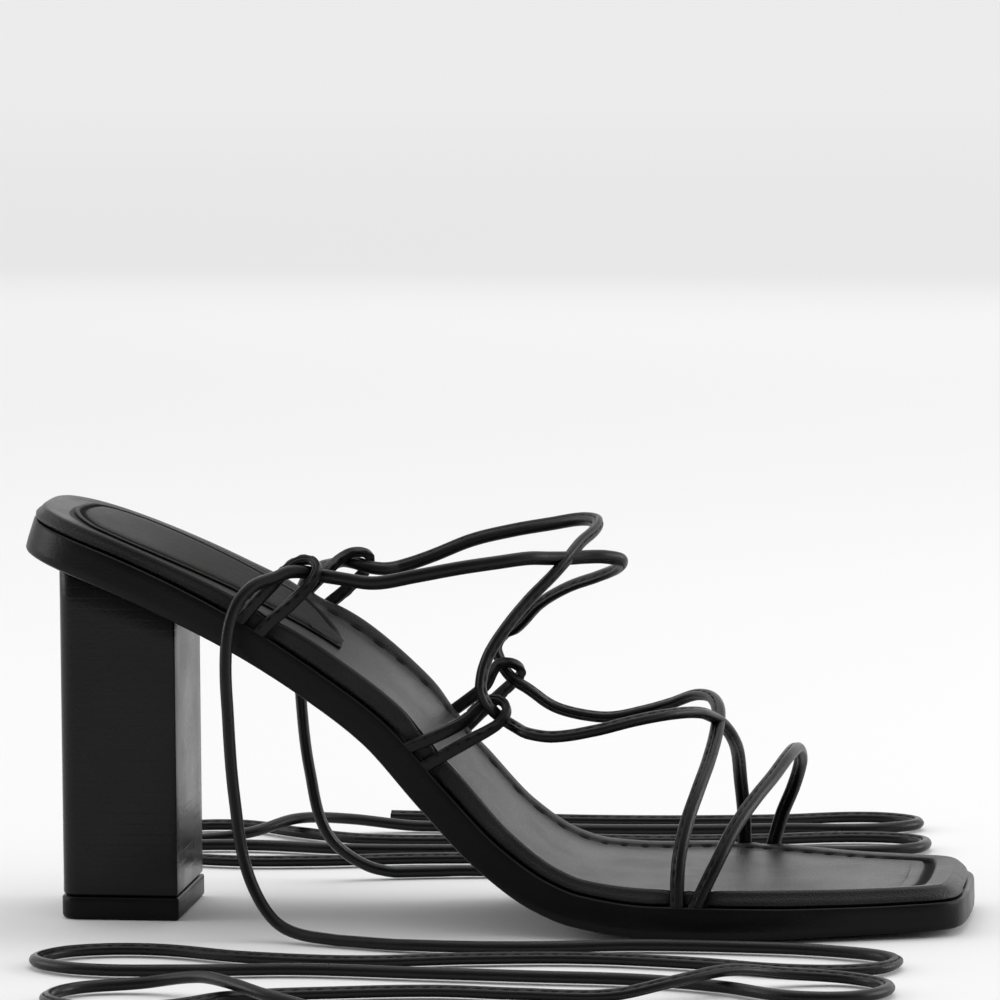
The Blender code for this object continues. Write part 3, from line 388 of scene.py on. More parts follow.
# Outline of the outsole from above, heel to toe: along (share of the length), across (share of
# half the ball width), once for each side.
LATERAL_ROWS = (
    (0.014, 0.000), (0.016, 0.240), (0.026, 0.430), (0.052, 0.590), (0.096, 0.692), (0.150, 0.730),
    (0.230, 0.738), (0.320, 0.742), (0.400, 0.756), (0.470, 0.782), (0.540, 0.840), (0.610, 0.922),
    (0.670, 0.975), (0.715, 1.000), (0.760, 0.985), (0.806, 0.930), (0.850, 0.850), (0.900, 0.758),
    (0.940, 0.682), (0.972, 0.605), (0.987, 0.515), (0.9935, 0.330), (0.9960, 0.000),
)
MEDIAL_ROWS = (
    (0.014, 0.000), (0.016, 0.240), (0.026, 0.430), (0.052, 0.590), (0.096, 0.686), (0.150, 0.716),
    (0.230, 0.704), (0.320, 0.660), (0.400, 0.612), (0.470, 0.592), (0.540, 0.660), (0.610, 0.840),
    (0.670, 0.960), (0.715, 1.000), (0.760, 0.985), (0.806, 0.900), (0.850, 0.805), (0.900, 0.735),
    (0.940, 0.690), (0.972, 0.635), (0.987, 0.550), (0.9945, 0.350), (0.9960, 0.000),
)


def side_curve(column):
    """One column of SIDE_ROWS as a smooth function of the share along the sole."""
    places = np.array([row[0] for row in SIDE_ROWS])
    values = np.array([row[column] for row in SIDE_ROWS])
    gaps = np.diff(places)
    rates = np.diff(values) / gaps
    slopes = [rates[0]]
    for before, after, left, right in zip(gaps, gaps[1:], rates, rates[1:]):
        if left * right <= 0.0:
            slopes.append(0.0)
            continue
        near = 2.0 * after + before
        far = after + 2.0 * before
        slopes.append((near + far) / (near / left + far / right))
    slopes = np.array(slopes + [rates[-1]])

    def value(along):
        along = np.asarray(along, float)
        index = np.clip(np.searchsorted(places, along, side="right") - 1, 0, len(places) - 2)
        gap = gaps[index]
        t = (along - places[index]) / gap
        start = values[index] * (1.0 + 2.0 * t) * (1.0 - t) ** 2 + slopes[index] * gap * t * (1.0 - t) ** 2
        end = values[index + 1] * t * t * (3.0 - 2.0 * t) + slopes[index + 1] * gap * t * t * (t - 1.0)
        return start + end

    return value


pitch_share, spring_share, outsole_share, footbed_share, rim_share, ledge_share, arch_share = (
    side_curve(column) for column in range(1, len(SIDE_ROWS[0])))


def share_along(places):
    """Share of the sole's length at each place."""
    return places[..., 0] / SOLE_LENGTH + 0.5


def x_at(along):
    return (along - 0.5) * SOLE_LENGTH


def top_height(along):
    """Height of the outsole's top surface."""
    return OUTSOLE_THICKNESS + HEEL_PITCH * pitch_share(along) + TOE_SPRING * spring_share(along)


def on_sole(places, height):
    """Points at a height square to the outsole's top, over an array of places from above."""
    along = share_along(places)
    rise = top_height(along + SLOPE_REACH) - top_height(along - SLOPE_REACH)
    run = 2.0 * SLOPE_REACH * SOLE_LENGTH
    length = np.hypot(rise, run)
    return np.stack([places[..., 0] - rise / length * height, places[..., 1] + 0.0 * height,
                     top_height(along) + run / length * height], axis=-1)


def outline_side(rows, side):
    """One side of the outline from heel to toe, as evenly spread places."""
    points = [Vector((x_at(along), side * across * BALL_WIDTH / 2.0, 0.0)) for along, across in rows]
    curve = np.array([tuple(point) for point in spline(points, OUTLINE_STEPS)])[:, :2]
    return spaced(curve, OUTLINE_POINTS + 1)


def ring_of(lateral, medial):
    """A closed ring: along the lateral side from the heel to the toe, and back on the medial one."""
    return np.concatenate([lateral, medial[-2:0:-1]])


def drawn_inward(ring, distance):
    """An outline ring moved inward by a distance, one number or one for each point."""
    ahead = np.roll(ring, -1, axis=0) - np.roll(ring, 1, axis=0)
    ahead /= np.maximum(np.linalg.norm(ahead, axis=1, keepdims=True), TINY)
    inward = np.stack([-ahead[:, 1], ahead[:, 0]], axis=1)
    return ring + inward * np.broadcast_to(np.asarray(distance, float), (len(ring),))[:, None]


def shape_from_rings(name, rings, floor_columns=1, floor_shape=None, painted_shade=None):
    """Closed shape from rings of points, lowest first, with its top filled by rows across."""
    rings = np.array(rings)
    count, around = rings.shape[:2]
    half = around // 2
    index = np.arange(count * around).reshape(count, around)
    base = index[0]
    top = index[-1]
    points = rings.reshape(-1, 3).tolist()
    faces = faces_between(index)
    for left in range(half):
        right = left + 1
        corners = (base[(around - left) % around], base[(around - right) % around],
                   base[right], base[left])
        faces.append(list(dict.fromkeys(int(corner) for corner in corners)))
    shares = (np.arange(floor_columns) + 1.0) / (floor_columns + 1.0)
    near_row = rings[-1][1:half]
    far_row = rings[-1][:half:-1]
    places = near_row[:, None, :] + (far_row - near_row)[:, None, :] * shares[None, :, None]
    floor_dark = np.zeros(places.shape[:2])
    if floor_shape is not None:
        lift, floor_dark = floor_shape(places, shares)
        places[:, :, 2] += lift
    inside = count * around + np.arange(floor_dark.size).reshape(-1, floor_columns)
    points += places.reshape(-1, 3).tolist()
    rows = np.concatenate([top[1:half, None], inside, top[:half:-1, None]], axis=1)
    corners = (rows[:-1, :-1], rows[1:, :-1], rows[1:, 1:], rows[:-1, 1:])
    faces += np.stack(corners, axis=-1).reshape(-1, 4).tolist()
    for left, right in zip(rows[0].tolist(), rows[0, 1:].tolist()):
        faces.append([int(top[0]), left, right])
    for left, right in zip(rows[-1].tolist(), rows[-1, 1:].tolist()):
        faces.append([int(top[half]), right, left])
    if painted_shade is not None:
        painted_shade = np.concatenate([np.array(painted_shade).ravel(), floor_dark.ravel()])
    return add_piece(name, points, faces, BLOCK_SHARP_ANGLE, painted_shade)


lateral_side = outline_side(LATERAL_ROWS, -1.0)
medial_side = outline_side(MEDIAL_ROWS, 1.0)
sole_ring = ring_of(lateral_side, medial_side)
tread = sole_ring * (1.0 - 2.0 * TREAD_CROWN_WIDTH / np.array([SOLE_LENGTH, BALL_WIDTH]))


def under(ring):
    """Depth of the outsole's underside below its top."""
    return -OUTSOLE_THICKNESS * outsole_share(share_along(ring))


def ramp(values, start, end):
    """0 up to start, 1 from end on, and a smooth way between."""
    share = np.clip((values - start) / (end - start), 0.0, 1.0)
    return share * share * (3.0 - 2.0 * share)


def toe_drop(ring):
    """The outsole's top edge is worn down a little towards the toe."""
    return TOE_DROP * ramp(ring[:, 0], *TOE_DROP_REACH)


outsole_rings = [on_sole(tread, under(tread))]
for inward, rise in TREAD_EDGE:
    ring = drawn_inward(sole_ring, inward)
    outsole_rings.append(on_sole(ring, under(ring) + rise))
edge_foot = under(sole_ring) + TREAD_EDGE_HEIGHT
edge_top = -TOP_EDGE[0][1] - toe_drop(sole_ring)
for share in (0.25, 0.5, 0.75):
    outsole_rings.append(on_sole(sole_ring, edge_foot * (1.0 - share) + edge_top * share))
for inward, drop in TOP_EDGE:
    outsole_rings.append(on_sole(drawn_inward(sole_ring, inward), -drop - toe_drop(sole_ring)))
outsole = shape_from_rings("sole_edge", outsole_rings)


def stretched_place(tree, scale):
    """Place on the piece, scaled differently each way, which draws a texture out into lines."""
    stretch = add_node(tree, "ShaderNodeMapping", {"Scale": scale})
    tree.links.new(add_node(tree, "ShaderNodeTexCoord").outputs["Object"], stretch.inputs["Vector"])
    return stretch.outputs["Vector"]


def sole_edge_leather():
    """Polished leather edge: near black, with faint lines along the fibres and a soft worn shine."""
    made = leather("sole edge leather", (0.0030, 0.0031, 0.0034), 0.34, 0.15, 0.0007, 0.00008)
    tree = made.node_tree
    normal = tree.nodes["Principled BSDF"].inputs["Normal"]
    fibres = add_noise(tree, stretched_place(tree, (40.0, 40.0, 1400.0)), scale=1.0, detail=6.0)
    tree.links.new(add_bump(tree, fibres, 0.25, 0.00012, normal.links[0].from_socket), normal)
    return made


outsole.data.materials.append(sole_edge_leather())
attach(outsole, "root")
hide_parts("outsole")

# The footbed: a thin board wrapped in soft black leather, set in from the outsole's edge. Its rim
# is rolled and stitched down 4 mm from the edge, which leaves the middle a little dished.
STITCH_LENGTH = 0.0056
STITCH_HOLE = 0.0018
# Roots of the straps in the seam: along, and side. The footbed is pressed in over each of them.
STRAP_ROOTS = (
    (0.704, -1), (0.728, -1), (0.743, 1), (0.768, 1), (0.421, -1), (0.438, -1), (0.424, 1), (0.441, 1),
    (0.245, -1), (0.266, -1), (0.266, 1), (0.287, 1),
)
DENT_WIDTH = 0.0030
WALL_DENT_DROP = 0.00040
WALL_DENT = 0.0004
ROLL_DENT = 0.00030
RIM_DENT = 0.0006
RIM_DENT_REACH = 0.0040
# Section of the rim: inward from the edge, height over the middle as a share of the rim's depth, and how
# far the place is pressed in by the stitches, which also sets how much painted shade it gets.
RIM_SECTION = (
    (0.00100, 1.06, 0.0), (0.00150, 1.04, 0.0), (0.00210, 0.97, 0.0), (0.00270, 0.84, 0.0),
    (0.00310, 0.72, 0.0), (0.00335, 0.62, 0.12), (0.00360, 0.50, 0.85), (0.00395, 0.40, 1.0),
    (0.00430, 0.33, 1.0), (0.00465, 0.28, 0.85), (0.00490, 0.24, 0.12), (0.00550, 0.12, 0.0),
    (0.00640, 0.00, 0.0),
)
# Wall of the footbed: share of its height, and how far inward.
WALL_SECTION = ((0.03, -0.0005), (0.14, -0.0008), (0.36, -0.0009), (0.68, -0.0006), (1.0, 0.0))
NEAR_BULGE = 0.0006          # the wall leans out further over the near ledge at ball and toe
NEAR_BULGE_REACH = (0.015, 0.055)
NEAR_BULGE_SIDE = -0.010
ROLL = 0.0011
ROLL_WIDTH = 0.0010
ROLL_ANGLES = (20.0, 40.0, 60.0, 78.0)
GROOVE = 0.00028
TOE_GROOVE = 0.00050
TOE_GROOVE_REACH = (0.088, 0.099)
HOLE_DEPTH = 0.00075
GROOVE_SHADE = 0.22          # painted shade in the stitch groove between the holes, which get full painted shade
STITCH_START = -0.045        # there are no stitches behind this place
STITCH_FADE = 0.004
TOE_ROLL_START = 0.080       # in front of this place the rim widens to the rounded toe
TOE_ROLL_WIDENING = 2.0
ARCH_AT_STITCH = 0.35
ARCH_REACH = (0.0014, 0.0040)
MIDDLE_BORDER = 0.0042       # from the footbed's edge to its flat middle
# Pleats of the turned toe: where they start inward from the edge, the middle of their row behind
# that, how far they fade, how deep and how slanted they are, and how close they stand.
PLEAT_START = 0.0041
PLEAT_MIDDLE = 0.0028
PLEAT_FADE = 0.0024
PLEAT_DEPTH = 0.00013
PLEAT_SLANT = 0.25
PLEAT_PITCH = 0.00042
FLOOR_CROWN = 0.0002         # the middle is padded by this much
FLOOR_COLUMNS = 100
SEAT_PAINTED_SHADE = 0.60             # painted shade on the near rim of the seat, which also dulls it
SEAT_SHADE_START = (-0.110, -0.088)
SEAT_SHADE_END = (-0.050, -0.020)
SHANK_PAINTED_SHADE = 0.40            # painted shade up the shank, which also dulls it
SHANK_SHADE_REACH = (-0.050, -0.018)

edge_ring = drawn_inward(sole_ring, FOOTBED_LEDGE * ledge_share(share_along(sole_ring)))
edge_front = float(edge_ring[:, 0].max())
root_dent = np.zeros(len(edge_ring))
for along, side in STRAP_ROOTS:
    near_root = np.exp(-((edge_ring[:, 0] - x_at(along)) / DENT_WIDTH) ** 2)
    root_dent = np.maximum(root_dent, near_root * (edge_ring[:, 1] * side > 0.0))
is_medial = edge_ring[:, 1] > 0.0
near_toe = ramp(edge_ring[:, 0], *NEAR_BULGE_REACH) * (edge_ring[:, 1] < NEAR_BULGE_SIDE)


def footbed_top(along):
    """Height of the footbed over the outsole's top."""
    return CLEAR + FOOTBED_THICKNESS * footbed_share(along)


def rim_ring(inward):
    """The footbed's edge moved inward, and further at the toe, where the rim is a broad roll."""
    ring = drawn_inward(edge_ring, inward)
    inward = float(np.max(inward))
    room = edge_front - inward - TOE_ROLL_START
    wanted = edge_front - TOE_ROLL_WIDENING * inward - TOE_ROLL_START
    past = np.maximum(ring[:, 0] - TOE_ROLL_START, 0.0)
    ring[:, 0] += past * (wanted / room - 1.0)
    return ring


def across_floor(places):
    """Share of the way over the footbed's middle, 0 at its lateral and 1 at its medial edge."""
    along = share_along(places)
    border = FOOTBED_LEDGE * ledge_share(along) + MIDDLE_BORDER
    lateral = np.interp(places[..., 0], lateral_side[:, 0], lateral_side[:, 1]) + border
    medial = np.interp(places[..., 0], medial_side[:, 0], medial_side[:, 1]) - border
    return np.clip((places[..., 1] - lateral) / np.maximum(medial - lateral, CLEAR), 0.0, 1.0)


def rim_arch(ring, inward):
    """Rise of the medial rim at the arch. Its inner slope takes most of it."""
    share = 1.0 - (1.0 - ARCH_AT_STITCH) * float(ramp(np.float64(inward), *ARCH_REACH))
    return ARCH_RISE * arch_share(share_along(ring)) * share * is_medial


def floor_height(places):
    """Height of the footbed's middle, which is a little padded."""
    along = share_along(places)
    across = across_floor(places)
    rise = ARCH_RISE * arch_share(along) * ARCH_AT_STITCH * across
    rise += FLOOR_CROWN * np.sin(np.pi * across)
    return footbed_top(along) - RIM_DEPTH * rim_share(along) + rise


def floor_shape(places, shares):
    """Padding of the middle, fine pleats that the turned toe leaves behind its groove, and painted shade
    up the shank.
    """
    lift = FLOOR_CROWN * np.sin(np.pi * shares)[None, :] * np.ones(places.shape[:2])
    behind = edge_front - TOE_ROLL_WIDENING * PLEAT_START - places[:, :, 0]
    fade = np.exp(-((behind - PLEAT_MIDDLE) / PLEAT_FADE) ** 2)
    lift += PLEAT_DEPTH * fade * np.sin((places[:, :, 1] + PLEAT_SLANT * behind) / PLEAT_PITCH)
    return lift, SHANK_PAINTED_SHADE * (1.0 - ramp(places[..., 0], *SHANK_SHADE_REACH))


hole = (way_along(edge_ring) % STITCH_LENGTH < STITCH_HOLE).astype(float)
sewn = ramp(edge_ring[:, 0], STITCH_START - STITCH_FADE, STITCH_START)
# Painted shade on the near, lateral rim of the seat.
near_seat = ramp(edge_ring[:, 0], *SEAT_SHADE_START) * (1.0 - ramp(edge_ring[:, 0], *SEAT_SHADE_END))
seat_painted_shade = SEAT_PAINTED_SHADE * near_seat * (edge_ring[:, 1] < 0.0)
at_toe = ramp(edge_ring[:, 0], *TOE_GROOVE_REACH)
footbed_rings = []
footbed_dark = []


def add_footbed_ring(inward, height, dark=0.0):
    """Next ring of the footbed, with its height over the outsole as a function of the way along."""
    ring = rim_ring(inward)
    along = share_along(ring)
    rise = rim_arch(ring, float(np.max(inward)))
    footbed_rings.append(on_sole(ring, height(along) + rise))
    footbed_dark.append(np.maximum(dark, seat_painted_shade))


def wall_top(along):
    return footbed_top(along) - ROLL - WALL_DENT_DROP * root_dent


foot = rim_ring(0.0)
footbed_rings.append(on_sole(foot, CLEAR / 3.0 - toe_drop(foot)))
footbed_dark.append(np.zeros(len(foot)))
for share, inward in WALL_SECTION:
    ring = rim_ring(0.0)
    near_bulge = NEAR_BULGE * near_toe * (1.0 - root_dent) * (1.0 - share)
    ring = drawn_inward(ring, inward * (1.0 - root_dent) - near_bulge + WALL_DENT * root_dent)
    along = share_along(ring)
    start = CLEAR - toe_drop(ring)
    height = start + (wall_top(along) - start) * share
    footbed_rings.append(on_sole(ring, height + rim_arch(ring, 0.0) * share))
    footbed_dark.append(np.zeros(len(ring)))
for angle in ROLL_ANGLES:
    out = ROLL_WIDTH * (1.0 - math.cos(math.radians(angle)))
    lift = ROLL * math.sin(math.radians(angle))
    add_footbed_ring(out + WALL_DENT * root_dent,
                     lambda along: wall_top(along) + lift - ROLL_DENT * root_dent)
for inward, share, pressed in RIM_SECTION:
    dent = RIM_DENT * root_dent * max(0.0, 1.0 - inward / RIM_DENT_REACH)
    groove = pressed * sewn * (GROOVE + TOE_GROOVE * at_toe + HOLE_DEPTH * hole * (1.0 - at_toe))
    # Painted shade in the stitch groove: full in the holes and all along the toe's groove.
    dark = pressed * sewn * np.maximum(GROOVE_SHADE + (1.0 - GROOVE_SHADE) * hole, at_toe)
    add_footbed_ring(inward, lambda along: (
        footbed_top(along) - RIM_DEPTH * rim_share(along) * (1.0 - share) - groove - dent), dark)
footbed = shape_from_rings("wrapped_footbed", footbed_rings, FLOOR_COLUMNS, floor_shape, footbed_dark)
footbed.data.materials.append(
    leather("footbed leather", (0.0150, 0.0150, 0.0152), 0.36, 0.20, 0.00045, 0.00030, 0.00006))
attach(footbed, "root")
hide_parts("footbed")

# The heel sock: a thin padded piece of the same leather glued on the seat, with a line pressed
# all round just inside its edge and an oblique front edge.
SOCK_MARGIN = 0.0054
SOCK_FRONT_MARGIN = 0.0100   # the sock narrows by this much on the lateral side towards its front
SOCK_BACK_ROUND = 0.0170
SOCK_LIFT = 0.0002
SOCK_THICKNESS = 0.0007
SOCK_FRONT_LATERAL = 0.330
SOCK_FRONT_MEDIAL = 0.280
SOCK_FRONT_BOW = 0.0030
SOCK_BOW_SHARE = 0.2         # how far each half of the front edge bows, as a share
SOCK_POINTS = 130
SOCK_FRONT_STEPS = 14
SOCK_COLUMNS = 40
SOCK_SWELL = 0.0001
SOCK_NARROW_START = 0.10
# Painted shade that grows towards the sock's front.
SOCK_PAINTED_SHADE = 0.45
SOCK_TONES = (0.30, 1.90)    # the sock's leather is mottled
SOCK_SHADE_REACH = (-0.108, -0.060)
# Section of the sock: inward from its edge, height as a share of its thickness, and painted shade, which
# lies in its pressed line.
SOCK_SECTION = (
    (0.00030, 0.00, 0.0), (0.00000, 0.20, 0.0), (0.00010, 0.45, 0.0), (0.00050, 0.62, 0.0),
    (0.00095, 0.60, 0.1), (0.00130, 0.28, 0.8), (0.00165, 0.05, 1.0), (0.00205, 0.05, 1.0),
    (0.00245, 0.28, 0.7), (0.00290, 0.62, 0.1), (0.00370, 0.84, 0.0), (0.00500, 0.94, 0.0),
    (0.00700, 1.00, 0.0),
)

sock_outline = drawn_inward(sole_ring, FOOTBED_LEDGE + SOCK_MARGIN)
count = OUTLINE_POINTS + 1
near_edge = sock_outline[:count].copy()
far_edge = np.concatenate([[sock_outline[0]], sock_outline[:count - 2:-1]])
near_edge[:, 1] += SOCK_FRONT_MARGIN * ramp(share_along(near_edge), SOCK_NARROW_START, SOCK_FRONT_LATERAL)
for edge in (near_edge, far_edge):
    behind = np.clip(1.0 - (edge[:, 0] - sock_outline[0, 0]) / SOCK_BACK_ROUND, 0.0, 1.0)
    widest = np.abs(edge[:, 1]).max()
    edge[:, 1] = np.sign(edge[:, 1]) * np.minimum(np.abs(edge[:, 1]), widest * np.sqrt(1.0 - behind ** 2))


def sock_side(edge, front_along):
    """One side of the sock up to its front edge."""
    return spaced(edge[edge[:, 0] < x_at(front_along)], SOCK_POINTS)


near_edge = sock_side(near_edge, SOCK_FRONT_LATERAL)
far_edge = sock_side(far_edge, SOCK_FRONT_MEDIAL)
tip = (near_edge[-1] + far_edge[-1]) / 2.0 + np.array([SOCK_FRONT_BOW, 0.0])


def with_front(edge):
    """A side of the sock with its half of the front edge."""
    shares = np.linspace(0.0, 1.0, SOCK_FRONT_STEPS + 1)[1:, None]
    bow = np.array([SOCK_FRONT_BOW * SOCK_BOW_SHARE, 0.0]) * np.sin(np.pi * shares)
    return np.concatenate([edge, edge[-1] + (tip - edge[-1]) * shares + bow])


sock_ring = ring_of(with_front(near_edge), with_front(far_edge))


def sock_shape(places, shares):
    """The pad swells a little between its pressed lines, and gets painted shade towards its front."""
    lift = SOCK_SWELL * np.sin(np.pi * shares)[None, :] * np.ones(places.shape[:2])
    return lift, sock_painted_shade(places)


def sock_painted_shade(places):
    """Painted shade that grows towards the sock's front, which also makes it duller."""
    return SOCK_PAINTED_SHADE * ramp(places[..., 0], *SOCK_SHADE_REACH)


sock_rings = []
sock_dark = []
for inward, share, dark in SOCK_SECTION:
    ring = drawn_inward(sock_ring, inward)
    sock_rings.append(on_sole(ring, floor_height(ring) + SOCK_LIFT + SOCK_THICKNESS * share))
    sock_dark.append(np.maximum(dark, sock_painted_shade(ring)))
sock = shape_from_rings("padded_sock", sock_rings, SOCK_COLUMNS, sock_shape, sock_dark)
sock.data.materials.append(leather(
    "heel sock leather", (0.0112, 0.0100, 0.0094), 0.44, 0.10, 0.00055, 0.00034, 0.00030, SOCK_TONES))
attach(sock, "root")
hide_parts("heel_sock")

# The block heel: layers of leather stacked and glued, cut square in front and rounded behind,
# dyed black and polished, screwed to the seat from inside.
HEEL_BACK = 0.0105
HEEL_LENGTH = 0.0285
HEEL_WIDTH = 0.0360
HEEL_CORNER = 0.0040
FRONT_CORNER = 0.0005
TOP_PIECE_HEIGHT = 0.0055
TOP_PIECE_LIP = 0.0003
HEEL_LAYER = 0.0026
HEEL_CORNER_STEPS = 10
FRONT_CORNER_STEPS = 4
HEEL_SIDE_POINTS = 18
UNDERSIDE_TRIES = 8
BLOCK_COLUMNS = 6
# Rounded edges of the heel: how far in, and how far from its foot or its top.
HEEL_FOOT = ((0.0004, 0.0), (0.0001, 0.0003), (0.0, 0.0007))
HEEL_HEAD = ((0.0, 0.0006), (0.0002, 0.0002), (0.0005, 0.0))


def heel_outline(back, length, width, corner, front):
    """The heel's outline as a ring, from the middle of its back along its near side to its front."""
    half = width / 2.0
    points = [(back, -half * share) for share in (0.0, 0.25, 0.5, 0.75)]
    for step in range(HEEL_CORNER_STEPS + 1):
        angle = math.pi / 2.0 * step / HEEL_CORNER_STEPS
        points.append((back + corner * (1.0 - math.cos(angle)), corner * (1.0 - math.sin(angle)) - half))
    for share in np.linspace(0.0, 1.0, HEEL_SIDE_POINTS)[1:-1]:
        points.append((back + corner + (length - corner - front) * share, -half))
    for step in range(FRONT_CORNER_STEPS + 1):
        angle = math.pi / 2.0 * step / FRONT_CORNER_STEPS
        points.append((back + length - front * (1.0 - math.sin(angle)),
                       front * (1.0 - math.cos(angle)) - half))
    points += [(back + length, -half * share) for share in (0.75, 0.5, 0.25, 0.0)]
    near = np.array(points)
    return ring_of(near, near * np.array([1.0, -1.0]))


def underside(x):
    """Height of the outsole's underside over x."""
    shift = np.zeros_like(x)
    for _ in range(UNDERSIDE_TRIES):
        places = np.stack([x + shift, np.zeros_like(x)], axis=-1)
        found = on_sole(places, under(places))
        shift += x - found[:, 0]
    return found[:, 2]


def block(name, ring, low, high, foot, head, shares=()):
    """Upright block between two heights, with its edges rounded at its foot and its head."""
    levels = [(inward, low + rise) for inward, rise in foot]
    levels += [(0.0, low + (high - low) * share) for share in shares]
    levels += [(inward, high - drop) for inward, drop in head]
    rings = []
    for inward, height in levels:
        moved = drawn_inward(ring, inward)
        rings.append(np.concatenate([moved, np.broadcast_to(height, len(ring))[:, None]], axis=1))
    return shape_from_rings(name, rings, BLOCK_COLUMNS)


heel_back = HEEL_BACK - SOLE_LENGTH / 2.0
heel_ring = heel_outline(heel_back, HEEL_LENGTH, HEEL_WIDTH, HEEL_CORNER, FRONT_CORNER)
heel_top = underside(heel_ring[:, 0]) - CLEAR
heel_block = block("stacked_heel", heel_ring, TOP_PIECE_HEIGHT + CLEAR, heel_top, HEEL_FOOT, HEEL_HEAD,
                   np.linspace(0.1, 0.9, 9))


def stacked_leather():
    """Heel layers: thin joints pressed in as bumps every few millimetres and a fine grain along the
    layers.
    """
    made = leather("stacked heel leather", (0.0024, 0.0024, 0.0025), 0.27, 0.24, 0.0009, 0.00006)
    tree = made.node_tree
    split = add_node(tree, "ShaderNodeSeparateXYZ")
    tree.links.new(add_node(tree, "ShaderNodeTexCoord").outputs["Object"], split.inputs["Vector"])
    layer = add_node(tree, "ShaderNodeMath", {1: HEEL_LAYER})
    layer.operation = "DIVIDE"
    tree.links.new(split.outputs["Z"], layer.inputs[0])
    part = add_node(tree, "ShaderNodeMath")
    part.operation = "FRACT"
    tree.links.new(layer.outputs["Value"], part.inputs[0])
    joint = add_ramp(tree, part.outputs["Value"], ((0.0, (0.35, 0.35, 0.35)), (0.10, (1.0, 1.0, 1.0))))
    grain = add_noise(tree, stretched_place(tree, (30.0, 30.0, 900.0)), scale=1.0, detail=5.0)
    normal = tree.nodes["Principled BSDF"].inputs["Normal"]
    joint_bump = add_bump(tree, joint, 0.35, 0.00008, normal.links[0].from_socket)
    tree.links.new(add_bump(tree, grain, 0.20, 0.00010, joint_bump), normal)
    return made


heel_block.data.materials.append(stacked_leather())
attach(heel_block, "root")
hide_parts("heel_block")

# The top piece: a slab of hard black rubber under the heel, a little wider than it all round. It is
# glued and nailed on from below, takes the wear and has slightly rounded edges.
TOP_PIECE_FOOT = (
    (0.0009, 0.0), (0.0005, 0.0001), (0.0002, 0.0004), (0.0, 0.0009), (0.0, 0.0022), (0.0, 0.0040),
)
TOP_PIECE_HEAD = ((0.0, 0.0004), (0.0002, 0.0001), (0.0005, 0.0))

piece_ring = heel_outline(heel_back - TOP_PIECE_LIP, HEEL_LENGTH + 2.0 * TOP_PIECE_LIP,
                          HEEL_WIDTH + 2.0 * TOP_PIECE_LIP, HEEL_CORNER, FRONT_CORNER)
top_piece = block("rubber_top_piece", piece_ring, 0.0, TOP_PIECE_HEIGHT, TOP_PIECE_FOOT, TOP_PIECE_HEAD)
top_piece.data.materials.append(
    leather("top piece rubber", (0.0024, 0.0026, 0.0034), 0.36, 0.14, 0.0012, 0.00004))
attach(top_piece, "root")
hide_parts("heel_top_piece")

# The toe strap: one rolled cord over the toes, its ends pressed flat and clamped between the
# footbed and the outsole.
INSTEP_HEIGHT = 0.0850
ROOT_THICKNESS = 0.0019
ROOT_SINK = 0.0006           # a strap end goes this deep into the seam
STRAP_STEP = 0.0008
PRESS_LENGTH = 0.0060
NARROW_REACH = 0.16          # of a loop's length, from its middle to both sides
# Straps and laces: along (share of the length), across (share of half the ball width, lateral
# minus) and over (share of INSTEP_HEIGHT above the outsole), between their roots and the loops.
TOE_STRAP_ROOTS = (0.7215, 0.770)
TOE_STRAP_ROWS = (
    (0.743, -0.888, 0.116), (0.760, -0.723, 0.208), (0.777, -0.508, 0.272), (0.792, -0.265, 0.318),
    (0.803, 0.000, 0.355), (0.808, 0.280, 0.362), (0.809, 0.508, 0.338), (0.807, 0.690, 0.292),
    (0.797, 0.838, 0.209), (0.784, 0.910, 0.125),
)


def strap_point(row):
    """Place of a row of a strap's route."""
    along, across, over = row
    height = float(top_height(along)) + over * INSTEP_HEIGHT
    return Vector((x_at(along), across * BALL_WIDTH / 2.0, height))


def root_point(along, side):
    """Where a strap end goes into the seam between footbed and outsole."""
    x = x_at(along)
    outline = lateral_side if side < 0 else medial_side
    edge = abs(float(np.interp(x, outline[:, 0], outline[:, 1])))
    edge -= FOOTBED_LEDGE * float(ledge_share(along))
    place = np.array([[x, side * (edge + CLEAR + ROOT_THICKNESS / 2.0)]])
    return Vector(on_sole(place, np.array([-ROOT_SINK]))[0])


def strap(name, node, route, width, thickness, thin_start, thin_end, pressed_ends=(True, True),
          step=STRAP_STEP, section=ROLLED_SECTION, narrowing=0.0):
    """Cord held at both ends, pressed flat where it goes into the seam."""
    points = even_steps(spline(route, CURVE_STEPS), step)
    frames = cord_frames(points, thin_start, thin_end)
    total = sum((after - before).length for before, after in zip(points, points[1:]))

    def press(index, gone):
        start = min(gone / PRESS_LENGTH, 1.0) if pressed_ends[0] else 1.0
        end = min((total - gone) / PRESS_LENGTH, 1.0) if pressed_ends[1] else 1.0
        narrow = 1.0 - narrowing * math.exp(-((gone / total - 0.5) / NARROW_REACH) ** 2)
        return width * narrow, ROOT_THICKNESS + (thickness - ROOT_THICKNESS) * min(start, end)

    made = rolled_cord(name, points, frames, width, thickness, press, section)
    made.data.materials.append(strap_leather)
    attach(made, "root")
    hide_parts(node)


OUTWARD = Vector((0.0, -1.0, 0.0))
toe_route = [root_point(TOE_STRAP_ROOTS[0], -1.0)] + [strap_point(row) for row in TOE_STRAP_ROWS]
toe_route.append(root_point(TOE_STRAP_ROOTS[1], 1.0))
strap("rolled_toe_strap", "toe_strap", toe_route, CORD_WIDTH, CORD_THICKNESS,
      OUTWARD, -OUTWARD)

